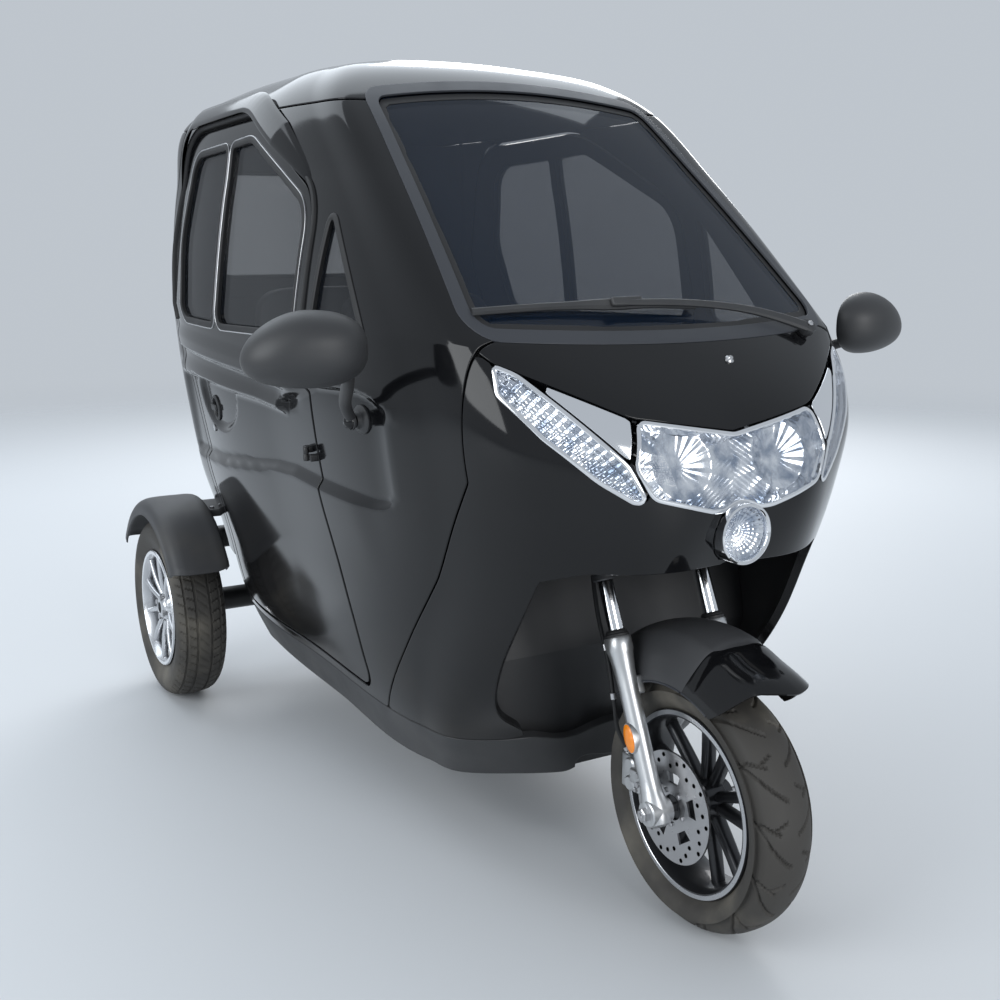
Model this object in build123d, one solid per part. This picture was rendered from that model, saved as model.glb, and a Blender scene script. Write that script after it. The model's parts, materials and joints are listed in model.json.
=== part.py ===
"""Three-wheeled cabin car: one steered front wheel, two rear wheels, a closed cabin with two side doors.

x points to the vehicle's left, y runs back from the front axle, z is up from the floor, all in mm.
Finished pieces are moved forward by MIDDLE_Y on export, so the stored origin is under the middle.
"""
from build123d import *
from math import cos, radians, sin
import os

# Wheels and steering
WHEELBASE = 1703
TRACK = 994
FRONT_TYRE_R = 243
FRONT_TYRE_W = 130
FRONT_RIM_R = 168
REAR_TYRE_R = 247
REAR_TYRE_W = 135
REAR_RIM_R = 154
#            half_w  spokes  spoke_w  hub_r  hub_low  hub_high
FRONT_RIM = (41, 5, 34, 32, None, 46)
REAR_RIM = (52, 10, 20, 46, -20, 44)
FLANGE_H = 6
FLANGE_T = 4.5
BARREL_T = 6
SPOKE_T = 22
FRONT_CROWN = 34
REAR_CROWN = 16
BEAD_H = 8
BEARING_GAP = 0.05
FRONT_AXLE_R = 8
REAR_AXLE_STUB_R = 15
RAKE = 24.4
FORK_SETBACK = 35
FORK_HALF_SPREAD = 112
STANCHION_R = 16
SLIDER_R = 24
SLIDER_TOP_Z = 535
YOKE_Z = 650
YOKE_T = 34
STEM_R = 14
HEAD_TUBE_R = 26
HEAD_TUBE_TOP_Z = 838
STEM_GAP = 0.3
BAR_Z = 1000
BAR_R = 11
BAR_HALF_LENGTH = 300
DISC_R = 105
DISC_T = 4
DISC_X = -74
DISC_HOLE_R = 24
DISC_SLOTS = 5
DISC_SLOT = [(-13, 46), (13, 46), (19, 66), (-19, 66)]
SLIDER_FOOT_W = 44
YOKE_LIP = 8
BAR_GRIP_R = 17
BAR_GRIP_X = 185
LEVER_R = 5
LEVER_FROM = (175, 10)
LEVER_TO = (290, 48, 16)
CLAMP = (46, 34, 30)
REFLECTOR_Z = 368
REFLECTOR_R = (27, 15)
REFLECTOR_T = 9
CALIPER_W = 32
CALIPER_Y = (78, 138)
CALIPER_Z = (232, 312)
BRACKET_Y = (34, 84)
BRACKET_Z = (262, 296)

# Body shell
WALL = 24
GAP = 6
SEAT = 0.3
GLASS_DEPTH = 7
GLASS_T = 5
LAMP_DEPTH = 34
BELT_Z = 1085
SKIRT_TOP_Z = 305
ROOF_SPLIT_Z = 1526
FLOOR_Z = 236
FLOOR_T = 5
TAIL_UNDER_Z = 425
LINER_T = 8
VISOR_PROUD = 22

# Rear mudguards, axle and chassis
REAR_GUARD_R = 306
REAR_GUARD_T = 5
REAR_GUARD_SPAN = 60
REAR_GUARD_INNER_X = 424
REAR_GUARD_OUTER_X = 578
AXLE_TUBE_R = 32
DRUM_R = 92
DRUM_W = 46
DRUM_CHAMFER = 14
DRUM_TO_WHEEL = 28
STUB_PAST = 40
MOTOR = [(-95, 0), (-95, 70), (-60, 98), (60, 98), (95, 70), (95, 0)]
RAIL_X = 230
RAIL_W = 40
RAIL_H = 30
RAIL_REAR_Z = 418
RAIL_END_Y = WHEELBASE + 147
RAIL_START_Y = 450
DOWN_TUBE_R = 20
DOWN_TUBE_Y = 363
POST_Y = (-160, -130)
POST_W = 30
CROSS_YS = (RAIL_START_Y, 900, 1340)
CROSS_W = 30
SPINE_PAST = 20
SPRING_R = 34
SPRING_WAIST = 0.55
SPRING_SEAT = (52, 8)
SPRING_TURNS = 4
BUMPER_H = 62
BUMPER_D = 44
PLATE_BOLTS = 140
PLATE_BOLT_R = 3
PLATE_BOLT_DEPTH = 20
BUMPER_CORNER_R = 30
GUARD_ARM_Y = (-90, 60)
GUARD_ARM_T = 20
GUARD_ARM_DROP = 46

# Front mudguard
FRONT_GUARD_R = 335
FRONT_GUARD_EDGE_R = 248
FRONT_GUARD_T = 4
FRONT_GUARD_AHEAD = 40
FRONT_GUARD_BEHIND = 50
FRONT_GUARD_LIP = 14

# Doors
HINGE_X = 497
HINGE_Y = 686
HINGE_ZS = (815, 1030)
KNUCKLE_R = 6
KNUCKLE_H = 14
HINGE_PIN_R = 2.5
LEAF = [(0, 1, 0), (-5, 0, 2), (-45, 0, 28), (-45, 0, 60)]
HANDLE_Y = 1405
HANDLE_Z = 836
HANDLE_R = 30
HANDLE_PROUD = 16

# Mirrors and wiper
MIRROR_AT = (642, 292, 1076)
MIRROR_R = 66
MIRROR_INNER_X = 105
MIRROR_OUTER_X = 96
MIRROR_TIP_R = 24
MIRROR_ELBOW = (-120, -60, 55)
MIRROR_BACK = 16
MIRROR_ARM_R = 13
MIRROR_FOOT = (440, 930)
MIRROR_FOOT_R = 27
MIRROR_FOOT_PROUD = 26
WIPER_CLEAR = 9
WIPER_BLADE = (8, 12)
WIPER_ARM_R = 5
WIPER_BOSS_R = 11
WIPER_BOSS = (26, 20)
WIPER_PATH = [(-376, 213, 1136), (-60, 167, 1143), (255, 151, 1112)]
WIPER_PIVOT = (300, 126, 1078)

# Cabin
SEAT_Z = 560
SEAT_BACK_Z = 1120
CUSHION_T = 90
CUSHION_R = 28
BACK_R = 22
BACK_T = 70
BACK_LEAN = 60
DRIVER_SEAT = (205, 330)
PASSENGER_SEAT = (270, 300)
BATTERY_CORNER = 12
BATTERY_X = 200
BATTERY_Y = (830, 1370)
DRIVER_Y = 840
PASSENGER_Y = 1300
DASH = [(150, 900), (290, 885), (298, 960), (225, 1020), (165, 1045)]
MIDDLE_Y = (WHEELBASE + REAR_GUARD_R * sin(radians(REAR_GUARD_SPAN)) - FRONT_TYRE_R) / 2

# Level outlines of the shell: height, then (x, y) of the left half from nose to tail.
# nose_y is on the centre plane; nose, corner, side and waist are measured from the front axle;
# hip, rear and tail are measured from the rear axle.
#    z     nose_y  nose         corner       side         waist        hip           rear         tail
LOWER = [
    (200, 297, (180, 335), (285, 400), (322, 500), (332, 940), (325, -320), (310, -140), (270, -50)),
    (330, 270, (285, 285), (345, 330), (375, 430), (390, 940), (385, -300), (352, -100), (300, 40)),
    (500, 90, (270, 110), (350, 200), (398, 370), (430, 950), (415, -250), (380, -50), (320, 100)),
    (650, -15, (230, 20), (335, 115), (405, 300), (462, 950), (440, -205), (405, 17), (330, 147)),
    (800, -68, (230, -30), (350, 68), (430, 250), (483, 960), (455, -150), (415, 65), (320, 157)),
    (915, -50, (260, -15), (375, 66), (448, 250), (494, 980), (465, -115), (425, 77), (320, 162)),
    (BELT_Z, 90, (365, 145), (415, 180), (465, 330), (500, 1020), (474, -45), (430, 95), (330, 175)),
]
UPPER = [
    (1376, 471, (345, 505), (402, 530), (430, 650), (458, 1100), (440, -65), (415, 75), (320, 130)),
    (1540, 683, (333, 724), (378, 745), (400, 850), (418, 1180), (405, -65), (388, 50), (310, 112)),
    (1600, 785, (270, 825), (315, 850), (338, 930), (347, 1170), (332, -180), (315, -90), (255, -45)),
    (1635, 915, (170, 950), (205, 975), (222, 1030), (229, 1180), (218, -325), (203, -268), (150, -240)),
    (1648, 1020, (70, 1030), (92, 1045), (102, 1075), (106, 1130), (102, -520), (92, -490), (70, -475)),
]
TOP_DROP_Z = 1540

# Side-view outlines: (y, z, corner radius). Points behind the door's middle are from the rear axle.
REAR = WHEELBASE
DOOR = [
    (606, 335, 40), (REAR - 300, 335, 60), (REAR - 195, 690, 300), (REAR + 5, 1190, 150),
    (REAR - 110, 1505, 130), (1100, 1518, 260), (700, 1335, 120), (690, 1080, 300), (650, 640, 300),
]
FRONT_PANE = [
    (728, 1066, 25), (1222, 1052, 25), (1222, 1462, 15), (1090, 1470, 120), (728, 1318, 90),
]
REAR_PANE = [
    (1250, 1052, 20), (REAR - 165, 1052, 60), (REAR - 110, 1240, 120), (REAR - 175, 1452, 90),
    (1250, 1462, 15),
]
QUARTER_PANE = [(628, 1318, 12), (640, 1066, 25), (372, 1030, 25)]
UNDERCUT = [(-400, -50), (-400, 700), (20, 700), (78, 680), (279, 309), (297, 199), (297, -50)]
TAIL_UNDERCUT = [
    (REAR - 265, -50), (REAR - 265, 330), (REAR - 215, TAIL_UNDER_Z),
    (REAR + 400, TAIL_UNDER_Z), (REAR + 400, -50),
]
NOSE_REGION = [
    (-400, -50), (-400, 1106), (210, 1106), (152, 1060), (158, 850), (290, 650), (565, 300), (600, -50),
]
TAIL_REGION = [
    (REAR - 255, -50), (REAR - 250, 330), (REAR - 150, 690), (REAR + 50, 1190), (REAR - 15, ROOF_SPLIT_Z),
    (REAR + 400, ROOF_SPLIT_Z), (REAR + 400, -50),
]
WELL = [(-320, 100), (-320, 790), (360, 790), (448, 722), (332, 450), (332, 100)]

# Rear-view outline of the rear window and the tail lamps' place
REAR_WINDOW = [(-292, 1140), (292, 1140), (270, 1430), (-270, 1430)]
REAR_WINDOW_R = 45
TAIL_LAMP_X = (215, 330)
TAIL_LAMP_Z = (600, 790)
TAIL_LAMP_PROUD = 9

# Front-view outlines: (x, z), left half from the centre plane out and back
SCREEN_BASE = (382, 1108)
SCREEN_TOP = (322, 1534)
SCREEN_BASE_MID_Z = 1096
SCREEN_TOP_MID_Z = 1560
SCREEN_CORNER_R = 30
HOOD_EDGE = [(0, 936), (190, 966), (205, 971), (381, 1056), (430, 1066), (430, 1200), (0, 1200)]
LAMP_LENS = [(0, 930), (188, 962), (206, 890), (180, 838), (62, 806), (0, 806)]
LAMP_PLATE = [(198, 966), (378, 1052), (384, 1046), (300, 955), (240, 876), (216, 890)]
LAMP_STRIP = [(384, 1042), (386, 1006), (322, 922), (256, 838), (240, 840), (244, 872), (304, 950)]
ROUND_LAMP_Z = 763
ROUND_LAMP_R = 54
ROUND_LAMP = [(0, -14), (54, -14), (54, -72), (50, -80), (42, -76), (36, -82), (18, -87), (0, -88)]


def mirrored(shape):
    return shape.mirror(Plane.YZ)


def both(shape):
    """The piece and its mirror image, as one compound."""
    return Compound([*shape.solids(), *mirrored(shape).solids()])


def side_face(outline):
    """A side-view outline as a face in the YZ plane; a third number rounds that corner."""
    points = [(y, z) for y, z, *_ in outline]
    radii = [row[2] if len(row) > 2 else 0 for row in outline]
    if not any(radii):
        return Plane.YZ * make_face(Polyline(*points, close=True))
    return Plane.YZ * make_face(FilletPolyline(*points, radius=radii, close=True))


def side_prism(outline, x_low, x_high, grow=0):
    face = side_face(outline)
    if grow:
        face = offset(face, amount=grow)
    return extrude(Pos(x_low, 0, 0) * face, amount=x_high - x_low, dir=(1, 0, 0))


def box(x_low, x_high, y_low, y_high, z_low, z_high):
    middle = Pos((x_low + x_high) / 2, (y_low + y_high) / 2, (z_low + z_high) / 2)
    return middle * Box(x_high - x_low, y_high - y_low, z_high - z_low)


def rod(start, end, radius):
    """A round bar between two points."""
    start = Vector(*start)
    run = Vector(*end) - start
    return extrude(Plane(start, z_dir=run) * Circle(radius), amount=run.length)


def level_outline(row, inset):
    """One closed outline of arcs, moved in by inset along the normal of each point."""
    z, nose_y, nose, corner, side, waist, hip, rear, tail = row
    half = [(0, nose_y), nose, corner, side, waist]
    half += [(x, REAR + y) for x, y in (hip, rear, tail)]
    half += [(0, half[-1][1] + 12)]
    points = []
    for index, (x, y) in enumerate(half):
        before = half[index - 1] if index else (-half[1][0], half[1][1])
        after = half[index + 1] if index + 1 < len(half) else (-half[-2][0], half[-2][1])
        into = Vector(x - before[0], y - before[1]).normalized()
        out = Vector(after[0] - x, after[1] - y).normalized()
        along = (into + out).normalized()
        points.append((x - along.Y * inset, y + along.X * inset))
    if z >= TOP_DROP_Z:
        z -= inset
    arcs = []
    for first in (1, 3, 5):
        arc = ThreePointArc(*points[first : first + 3])
        arcs += [arc, mirrored(arc)]
    for middle, end in ((points[0], points[1]), (points[-1], points[-2])):
        arcs.append(ThreePointArc((-end[0], end[1]), middle, end))
    return Pos(0, 0, z) * make_face(arcs)


def body(inset):
    """The closed body, moved in by inset on every side but the underside."""
    return loft([level_outline(row, inset) for row in LOWER + UPPER], ruled=True)


def largest(shape):
    return max(shape.solids(), key=lambda solid: solid.volume)


def save(node, shape):
    solids = [solid for solid in shape.solids() if solid.volume > 1]
    piece = solids[0] if len(solids) == 1 else Compound(solids)
    export_step(Pos(0, -MIDDLE_Y, 0) * piece, f"parts/{node}.step")


def band(outline, grow, x_low, x_high):
    """The strip outside a side-view outline, grow wide."""
    return side_prism(outline, x_low, x_high, grow) - side_prism(outline, x_low, x_high)


def on_rake(along, behind=0):
    """A point (y, z) along the fork line from the axle, and behind it."""
    return (
        along * sin(radians(RAKE)) + behind * cos(radians(RAKE)),
        FRONT_TYRE_R + along * cos(radians(RAKE)) - behind * sin(radians(RAKE)),
    )


def rake_length(z, behind=0):
    """How far along the fork line a height is."""
    return (z - FRONT_TYRE_R + behind * sin(radians(RAKE))) / cos(radians(RAKE))


def on_axis(z):
    """The point (y, z) of the steering axis at a height."""
    return on_rake(rake_length(z, FORK_SETBACK), FORK_SETBACK)


def axis_point(z, x=0):
    return (x, *on_axis(z))


def fork_point(z, x=0):
    return (x, *on_rake(rake_length(z)))


def wheel_ring(profile, x=0, y=0, z=0):
    """A (x, radius) profile turned about the axle."""
    face = make_face(Polyline(*profile, close=True))
    return Pos(x, y, z) * revolve(face, Axis.X)


OUT = 700
outer = body(0)
shell = outer - body(WALL)
fitted_inside = body(WALL + SEAT)
touching = body(-SEAT)
glass_layer = body(GLASS_DEPTH) - body(GLASS_DEPTH + GLASS_T)
left_half = box(0, OUT, -400, 2400, 0, 1800)
front_of_shell = box(-OUT, OUT, -400, 900, 0, 1700)


def left_window(outline, grow=0):
    return side_prism(outline, 150, OUT, grow)


def view_prism(face, grow=0):
    """A front-view face run back through the nose and windscreen."""
    if grow:
        face = offset(face, amount=grow, kind=Kind.INTERSECTION)
    return extrude(Plane.XZ.offset(400) * face, amount=-1300)


def screen_face():
    base_x, base_z = SCREEN_BASE
    top_x, top_z = SCREEN_TOP
    edge = [
        ThreePointArc((-base_x, base_z), (0, SCREEN_BASE_MID_Z), (base_x, base_z)),
        Line((base_x, base_z), (top_x, top_z)),
        ThreePointArc((top_x, top_z), (0, SCREEN_TOP_MID_Z), (-top_x, top_z)),
        Line((-top_x, top_z), (-base_x, base_z)),
    ]
    return fillet(make_face(edge).vertices(), SCREEN_CORNER_R)


def left_lamp(points):
    return make_face(Polyline(*points, close=True))


def across(points):
    """A left-half outline closed by its mirror image."""
    return make_face(Polyline(*points, *[(-x, z) for x, z in reversed(points) if x], close=True))


# Windscreen, lamps and the cuts they sit in
screen_cut = view_prism(screen_face())
round_face = Pos(0, ROUND_LAMP_Z) * Circle(ROUND_LAMP_R)
windscreen = glass_layer & view_prism(screen_face(), -SEAT) & front_of_shell
quarter_glass = both(glass_layer & left_window(QUARTER_PANE, -SEAT))
lamp_cut = view_prism(across(LAMP_LENS)) + view_prism(round_face)
lamp_cut = lamp_cut + view_prism(left_lamp(LAMP_PLATE)) + mirrored(view_prism(left_lamp(LAMP_PLATE)))
lamp_cut = lamp_cut + view_prism(left_lamp(LAMP_STRIP)) + mirrored(view_prism(left_lamp(LAMP_STRIP)))
lamp_layer = (outer - body(LAMP_DEPTH)) & front_of_shell
headlamp_lens = (lamp_layer & view_prism(across(LAMP_LENS), -SEAT)) - view_prism(round_face, SEAT)
lamp_plates = both(lamp_layer & view_prism(left_lamp(LAMP_PLATE), -SEAT))
lamp_strips = both(lamp_layer & view_prism(left_lamp(LAMP_STRIP), -SEAT))
bezel_face = make_face(Polyline(*[(min(r, ROUND_LAMP_R - SEAT), y) for r, y in ROUND_LAMP], close=True))
round_lamp = Pos(0, 0, ROUND_LAMP_Z) * revolve(bezel_face, Axis.Y)

# Doors
door_slot = side_prism(DOOR, 150, OUT, GAP)
door_left = (shell & side_prism(DOOR, 150, OUT)) - left_window(FRONT_PANE) - left_window(REAR_PANE)
door_glass_left = glass_layer & (left_window(FRONT_PANE, -SEAT) + left_window(REAR_PANE, -SEAT))

# Shell panels
open_shell = shell - side_prism(UNDERCUT, -OUT, OUT) - side_prism(TAIL_UNDERCUT, -OUT, OUT)
open_shell = open_shell - door_slot - mirrored(door_slot)
above_skirt = box(-OUT, OUT, -400, 2400, SKIRT_TOP_Z, 1800)
roof_space = box(-OUT, OUT, -400, 2400, ROOF_SPLIT_Z, 1800)
skirt = open_shell - above_skirt
upper_shell = open_shell & above_skirt
roof = (upper_shell & roof_space) - screen_cut
below_roof = upper_shell - roof_space
nose_space = side_prism(NOSE_REGION, -OUT, OUT)
tail_space = side_prism(TAIL_REGION, -OUT, OUT)
front_skin = (below_roof & nose_space) - lamp_cut - screen_cut
hood_space = view_prism(across(HOOD_EDGE))
hood = front_skin & hood_space
nose_fairing = largest(front_skin - hood_space)
side_left = (below_roof - nose_space - tail_space - screen_cut - lamp_cut) & left_half
side_left = largest(side_left - left_window(QUARTER_PANE))

# Tail
rear_pane = make_face(FilletPolyline(*REAR_WINDOW, radius=REAR_WINDOW_R, close=True))
rear_cut = extrude(Plane.XZ.offset(-REAR + 100) * rear_pane, amount=-500)
rear_window = glass_layer & extrude(Plane.XZ.offset(-REAR + 100) * offset(rear_pane, amount=-SEAT), amount=-500)
tail_body = (below_roof & tail_space) - rear_cut
lamp_block = box(TAIL_LAMP_X[0], TAIL_LAMP_X[1], REAR + 60, REAR + 400, TAIL_LAMP_Z[0], TAIL_LAMP_Z[1])
tail_lamps = both((body(-TAIL_LAMP_PROUD) - touching) & lamp_block)


def hinge(low_z):
    """Frame knuckle with its pin, door knuckle, and the room each needs in the other panel."""

    def barrel(radius, z_low, z_high):
        return Pos(HINGE_X, HINGE_Y, z_low) * extrude(Circle(radius), amount=z_high - z_low)

    def leaf(side, z_low, z_high):
        plan = [(HINGE_X + x, HINGE_Y + side * (knuckle * KNUCKLE_R + y)) for x, knuckle, y in LEAF]
        plate = extrude(make_face(Polyline(*plan, close=True)), amount=z_high - z_low)
        return Pos(0, 0, z_low) * plate - hollow - beside[side]

    split_z = low_z + KNUCKLE_H
    top_z = split_z + SEAT + KNUCKLE_H
    frame_part = barrel(KNUCKLE_R, low_z, split_z) + leaf(-1, low_z, split_z)
    frame_part += barrel(HINGE_PIN_R, split_z, top_z - 2)
    door_part = barrel(KNUCKLE_R, split_z + SEAT, top_z) + leaf(1, split_z + SEAT, top_z)
    door_part -= barrel(HINGE_PIN_R + BEARING_GAP, low_z, top_z - 1)
    in_door = barrel(KNUCKLE_R + GAP, low_z - GAP, split_z + SEAT / 2)
    in_frame = barrel(KNUCKLE_R + GAP, split_z + SEAT / 2, top_z + GAP)
    return frame_part, door_part, in_frame, in_door


hollow = body(WALL - 2)
beside = {-1: side_prism(DOOR, 150, OUT, GAP) & body(-GAP), 1: Solid.make_box(1, 1, 1)}
for hinge_z in HINGE_ZS:
    frame_part, door_part, in_frame, in_door = hinge(hinge_z)
    side_left = side_left - in_frame + frame_part
    door_left = door_left - in_door + door_part

handle_left = Pos(300, HANDLE_Y, HANDLE_Z) * extrude(Plane.YZ * Circle(HANDLE_R), amount=300)
handle_left = largest((handle_left & body(-HANDLE_PROUD)) - touching)
visor_left = (band(DOOR, 62, 150, OUT) - band(DOOR, GAP + 2, 150, OUT)) & body(-VISOR_PROUD)
visor_left = largest((visor_left & box(0, OUT, 500, 2400, 1345, 1800)) - touching)

# Mirror: half an egg on an arm from a round foot on the side frame
mirror_x, mirror_y, mirror_z = MIRROR_AT
egg = make_face([
    ThreePointArc((-MIRROR_INNER_X, 0), (-MIRROR_INNER_X * 0.4, MIRROR_R), (MIRROR_OUTER_X, MIRROR_TIP_R)),
    Line((MIRROR_OUTER_X, MIRROR_TIP_R), (MIRROR_OUTER_X + 4, 0)),
    Line((MIRROR_OUTER_X + 4, 0), (-MIRROR_INNER_X, 0)),
])
egg = mirrored(revolve(egg, Axis.X))
mirror_head = Pos(mirror_x, mirror_y, mirror_z) * egg - box(0, 900, mirror_y + MIRROR_BACK, 900, 900, 1300)
foot_y, foot_z = MIRROR_FOOT
foot = Pos(380, foot_y, foot_z) * extrude(Plane.YZ * Circle(MIRROR_FOOT_R), amount=200)
foot = largest((foot & body(-MIRROR_FOOT_PROUD)) - touching)
elbow = (mirror_x + MIRROR_ELBOW[0], foot_y + MIRROR_ELBOW[1], foot_z + MIRROR_ELBOW[2])
shoulder = (foot.bounding_box().max.X - 8, foot_y, foot_z)
mirror_left = foot + rod(shoulder, elbow, MIRROR_ARM_R) + Pos(*elbow) * Sphere(MIRROR_ARM_R)
mirror_left = mirror_left + rod(elbow, (mirror_x - 60, mirror_y, mirror_z - 20), MIRROR_ARM_R) + mirror_head

# Wiper along the foot of the windscreen
blade_path = ThreePointArc(*[(x, y - WIPER_CLEAR, z) for x, y, z in WIPER_PATH])
blade = sweep(Plane(blade_path @ 0, z_dir=blade_path % 0) * Rectangle(*WIPER_BLADE), blade_path)
boss_top = (WIPER_PIVOT[0], WIPER_PIVOT[1] - WIPER_BOSS[0], WIPER_PIVOT[2] + WIPER_BOSS[1])
arm_root = (WIPER_PIVOT[0], WIPER_PIVOT[1] - WIPER_BOSS[0] * 0.77, WIPER_PIVOT[2] + WIPER_BOSS[1] * 0.75)
wiper = blade + largest(rod(boss_top, WIPER_PIVOT, WIPER_BOSS_R) - touching)
wiper = wiper + rod(arm_root, blade_path @ 0.5, WIPER_ARM_R)

# Wheel well liner, chassis, floor
liner = band(WELL, LINER_T, -OUT, OUT) & fitted_inside
head_low = rake_length(YOKE_Z, FORK_SETBACK) + YOKE_T / 2 + SEAT
head_high = rake_length(HEAD_TUBE_TOP_Z, FORK_SETBACK)
up_rake = (0, sin(radians(RAKE)), cos(radians(RAKE)))
axis_plane = Plane((0, *on_rake(0, FORK_SETBACK)), x_dir=(1, 0, 0), z_dir=up_rake)


def on_stem(low, high, radius):
    """A cylinder round the steering axis between two distances up it."""
    return axis_plane.offset(low) * extrude(Circle(radius), amount=high - low)


liner = largest(liner - on_stem(head_low, head_high, HEAD_TUBE_R + SEAT) - view_prism(round_face, SEAT))
head_tube = on_stem(head_low, head_high, HEAD_TUBE_R)
chassis = head_tube
tube_points = [
    axis_point(HEAD_TUBE_TOP_Z - 12), (0, 400, 830), (0, 492, 744), (0, DOWN_TUBE_Y, 440),
    (0, DOWN_TUBE_Y, FLOOR_Z),
]
for start, end in zip(tube_points, tube_points[1:]):
    chassis = chassis + rod(start, end, DOWN_TUBE_R) + Pos(*end) * Sphere(DOWN_TUBE_R)
chassis -= on_stem(head_low - 60, head_high + 60, STEM_R + STEM_GAP)
rail_low = FLOOR_Z - RAIL_H
RAIL = [
    (RAIL_START_Y, rail_low), (REAR - 293, rail_low), (REAR - 213, RAIL_REAR_Z - RAIL_H),
    (RAIL_END_Y, RAIL_REAR_Z - RAIL_H), (RAIL_END_Y, RAIL_REAR_Z), (REAR - 229, RAIL_REAR_Z),
    (REAR - 309, FLOOR_Z), (RAIL_START_Y, FLOOR_Z),
]
rail = side_prism(RAIL, RAIL_X - RAIL_W / 2, RAIL_X + RAIL_W / 2)
post_low, post_high = RAIL_X - POST_W / 2, RAIL_X + POST_W / 2
post = box(post_low, post_high, REAR + POST_Y[0], REAR + POST_Y[1], RAIL_REAR_Z, SEAT_Z - SEAT)
chassis = chassis + rail + mirrored(rail) + post + mirrored(post)
spine_y = (DOWN_TUBE_Y - DOWN_TUBE_R * 0.9, RAIL_START_Y + SPINE_PAST)
chassis += box(-DOWN_TUBE_R, DOWN_TUBE_R, *spine_y, rail_low, FLOOR_Z)
for low_y in CROSS_YS:
    chassis += box(-RAIL_X, RAIL_X, low_y, low_y + CROSS_W, rail_low, FLOOR_Z)
chassis += box(-RAIL_X, RAIL_X, RAIL_END_Y - CROSS_W, RAIL_END_Y, RAIL_REAR_Z - RAIL_H, RAIL_REAR_Z)
FLOOR = [
    (341, FLOOR_Z), (REAR - 309, FLOOR_Z), (REAR - 229, RAIL_REAR_Z), (REAR + 145, RAIL_REAR_Z),
    (REAR + 145, RAIL_REAR_Z + FLOOR_T), (REAR - 232, RAIL_REAR_Z + FLOOR_T), (REAR - 312, FLOOR_Z + FLOOR_T),
    (341, FLOOR_Z + FLOOR_T),
]
floor_pan = side_prism([(y, z + SEAT) for y, z in FLOOR], -OUT, OUT) & fitted_inside
floor_pan -= rod(tube_points[3], (0, DOWN_TUBE_Y, 200), DOWN_TUBE_R + SEAT)
hole_y = (REAR + POST_Y[0] - SEAT, REAR + POST_Y[1] + SEAT)
post_hole = box(post_low - SEAT, post_high + SEAT, *hole_y, RAIL_REAR_Z - FLOOR_T, SEAT_Z)
floor_pan = largest(floor_pan - post_hole - mirrored(post_hole))

# Cabin fittings
battery_low = FLOOR_Z + FLOOR_T + 2 * SEAT
battery_box = box(-BATTERY_X, BATTERY_X, *BATTERY_Y, battery_low, SEAT_Z - SEAT)
battery_box = chamfer(battery_box.edges().filter_by(Axis.Z), BATTERY_CORNER)


def cabin_seat(half_width, front_y, base_length):
    """A cushion and a leaning back, each a rounded block."""
    cushion = box(-half_width, half_width, front_y, front_y + base_length, SEAT_Z, SEAT_Z + CUSHION_T)
    cushion = fillet(cushion.edges().filter_by(Axis.Z) + cushion.edges().group_by(Axis.Z)[-1], CUSHION_R)
    rear_y = front_y + base_length
    profile = [
        (rear_y - BACK_T, SEAT_Z + CUSHION_T + SEAT), (rear_y, SEAT_Z + CUSHION_T + SEAT),
        (rear_y + BACK_LEAN, SEAT_BACK_Z), (rear_y + BACK_LEAN - BACK_T + 10, SEAT_BACK_Z),
    ]
    back = side_prism(profile, -half_width, half_width)
    back = fillet(back.edges().group_by(Axis.Z)[-1], BACK_R)
    return cushion, back


driver_seat = Compound(list(cabin_seat(DRIVER_SEAT[0], DRIVER_Y, DRIVER_SEAT[1])))
passenger_seat = Compound(list(cabin_seat(PASSENGER_SEAT[0], PASSENGER_Y, PASSENGER_SEAT[1])))
dashboard = largest((side_prism(DASH, -OUT, OUT) & fitted_inside) - lamp_layer)

# Rear axle on two springs
axle_z = REAR_TYRE_R
drum_x = TRACK / 2 - DRUM_TO_WHEEL
rear_axle = rod((-drum_x, REAR, axle_z), (drum_x, REAR, axle_z), AXLE_TUBE_R)
rear_axle += wheel_ring(MOTOR, 0, REAR, axle_z)
for side in (-1, 1):
    drum = [(0, 0), (0, DRUM_R - DRUM_CHAMFER), (-DRUM_CHAMFER, DRUM_R), (-DRUM_W, DRUM_R), (-DRUM_W, 0)]
    rear_axle += wheel_ring([(side * x, r) for x, r in drum], side * drum_x, REAR, axle_z)
    stub_x = side * (TRACK / 2 + STUB_PAST)
    rear_axle += rod((side * drum_x, REAR, axle_z), (stub_x, REAR, axle_z), REAR_AXLE_STUB_R)
seat_half = SPRING_SEAT[0] / 2
seat_top = axle_z + AXLE_TUBE_R + SPRING_SEAT[1]
spring_seat = box(RAIL_X - seat_half, RAIL_X + seat_half, REAR - seat_half, REAR + seat_half, axle_z, seat_top)
rear_axle = rear_axle + spring_seat + mirrored(spring_seat)
spring_low = seat_top + SEAT
spring_high = RAIL_REAR_Z - RAIL_H - SEAT
pitch = (spring_high - spring_low) / (2 * SPRING_TURNS + 1)
spring_profile = [(0, spring_low)]
for step in range(2 * SPRING_TURNS + 1):
    radius = SPRING_R * (SPRING_WAIST if step % 2 else 1)
    spring_profile += [(radius, spring_low + step * pitch), (radius, spring_low + (step + 1) * pitch)]
spring_profile.append((0, spring_high))
spring = revolve(Plane.XZ * make_face(Polyline(*spring_profile, close=True)), Axis.Z)
rear_springs = both(Pos(RAIL_X, REAR, 0) * spring)

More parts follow.
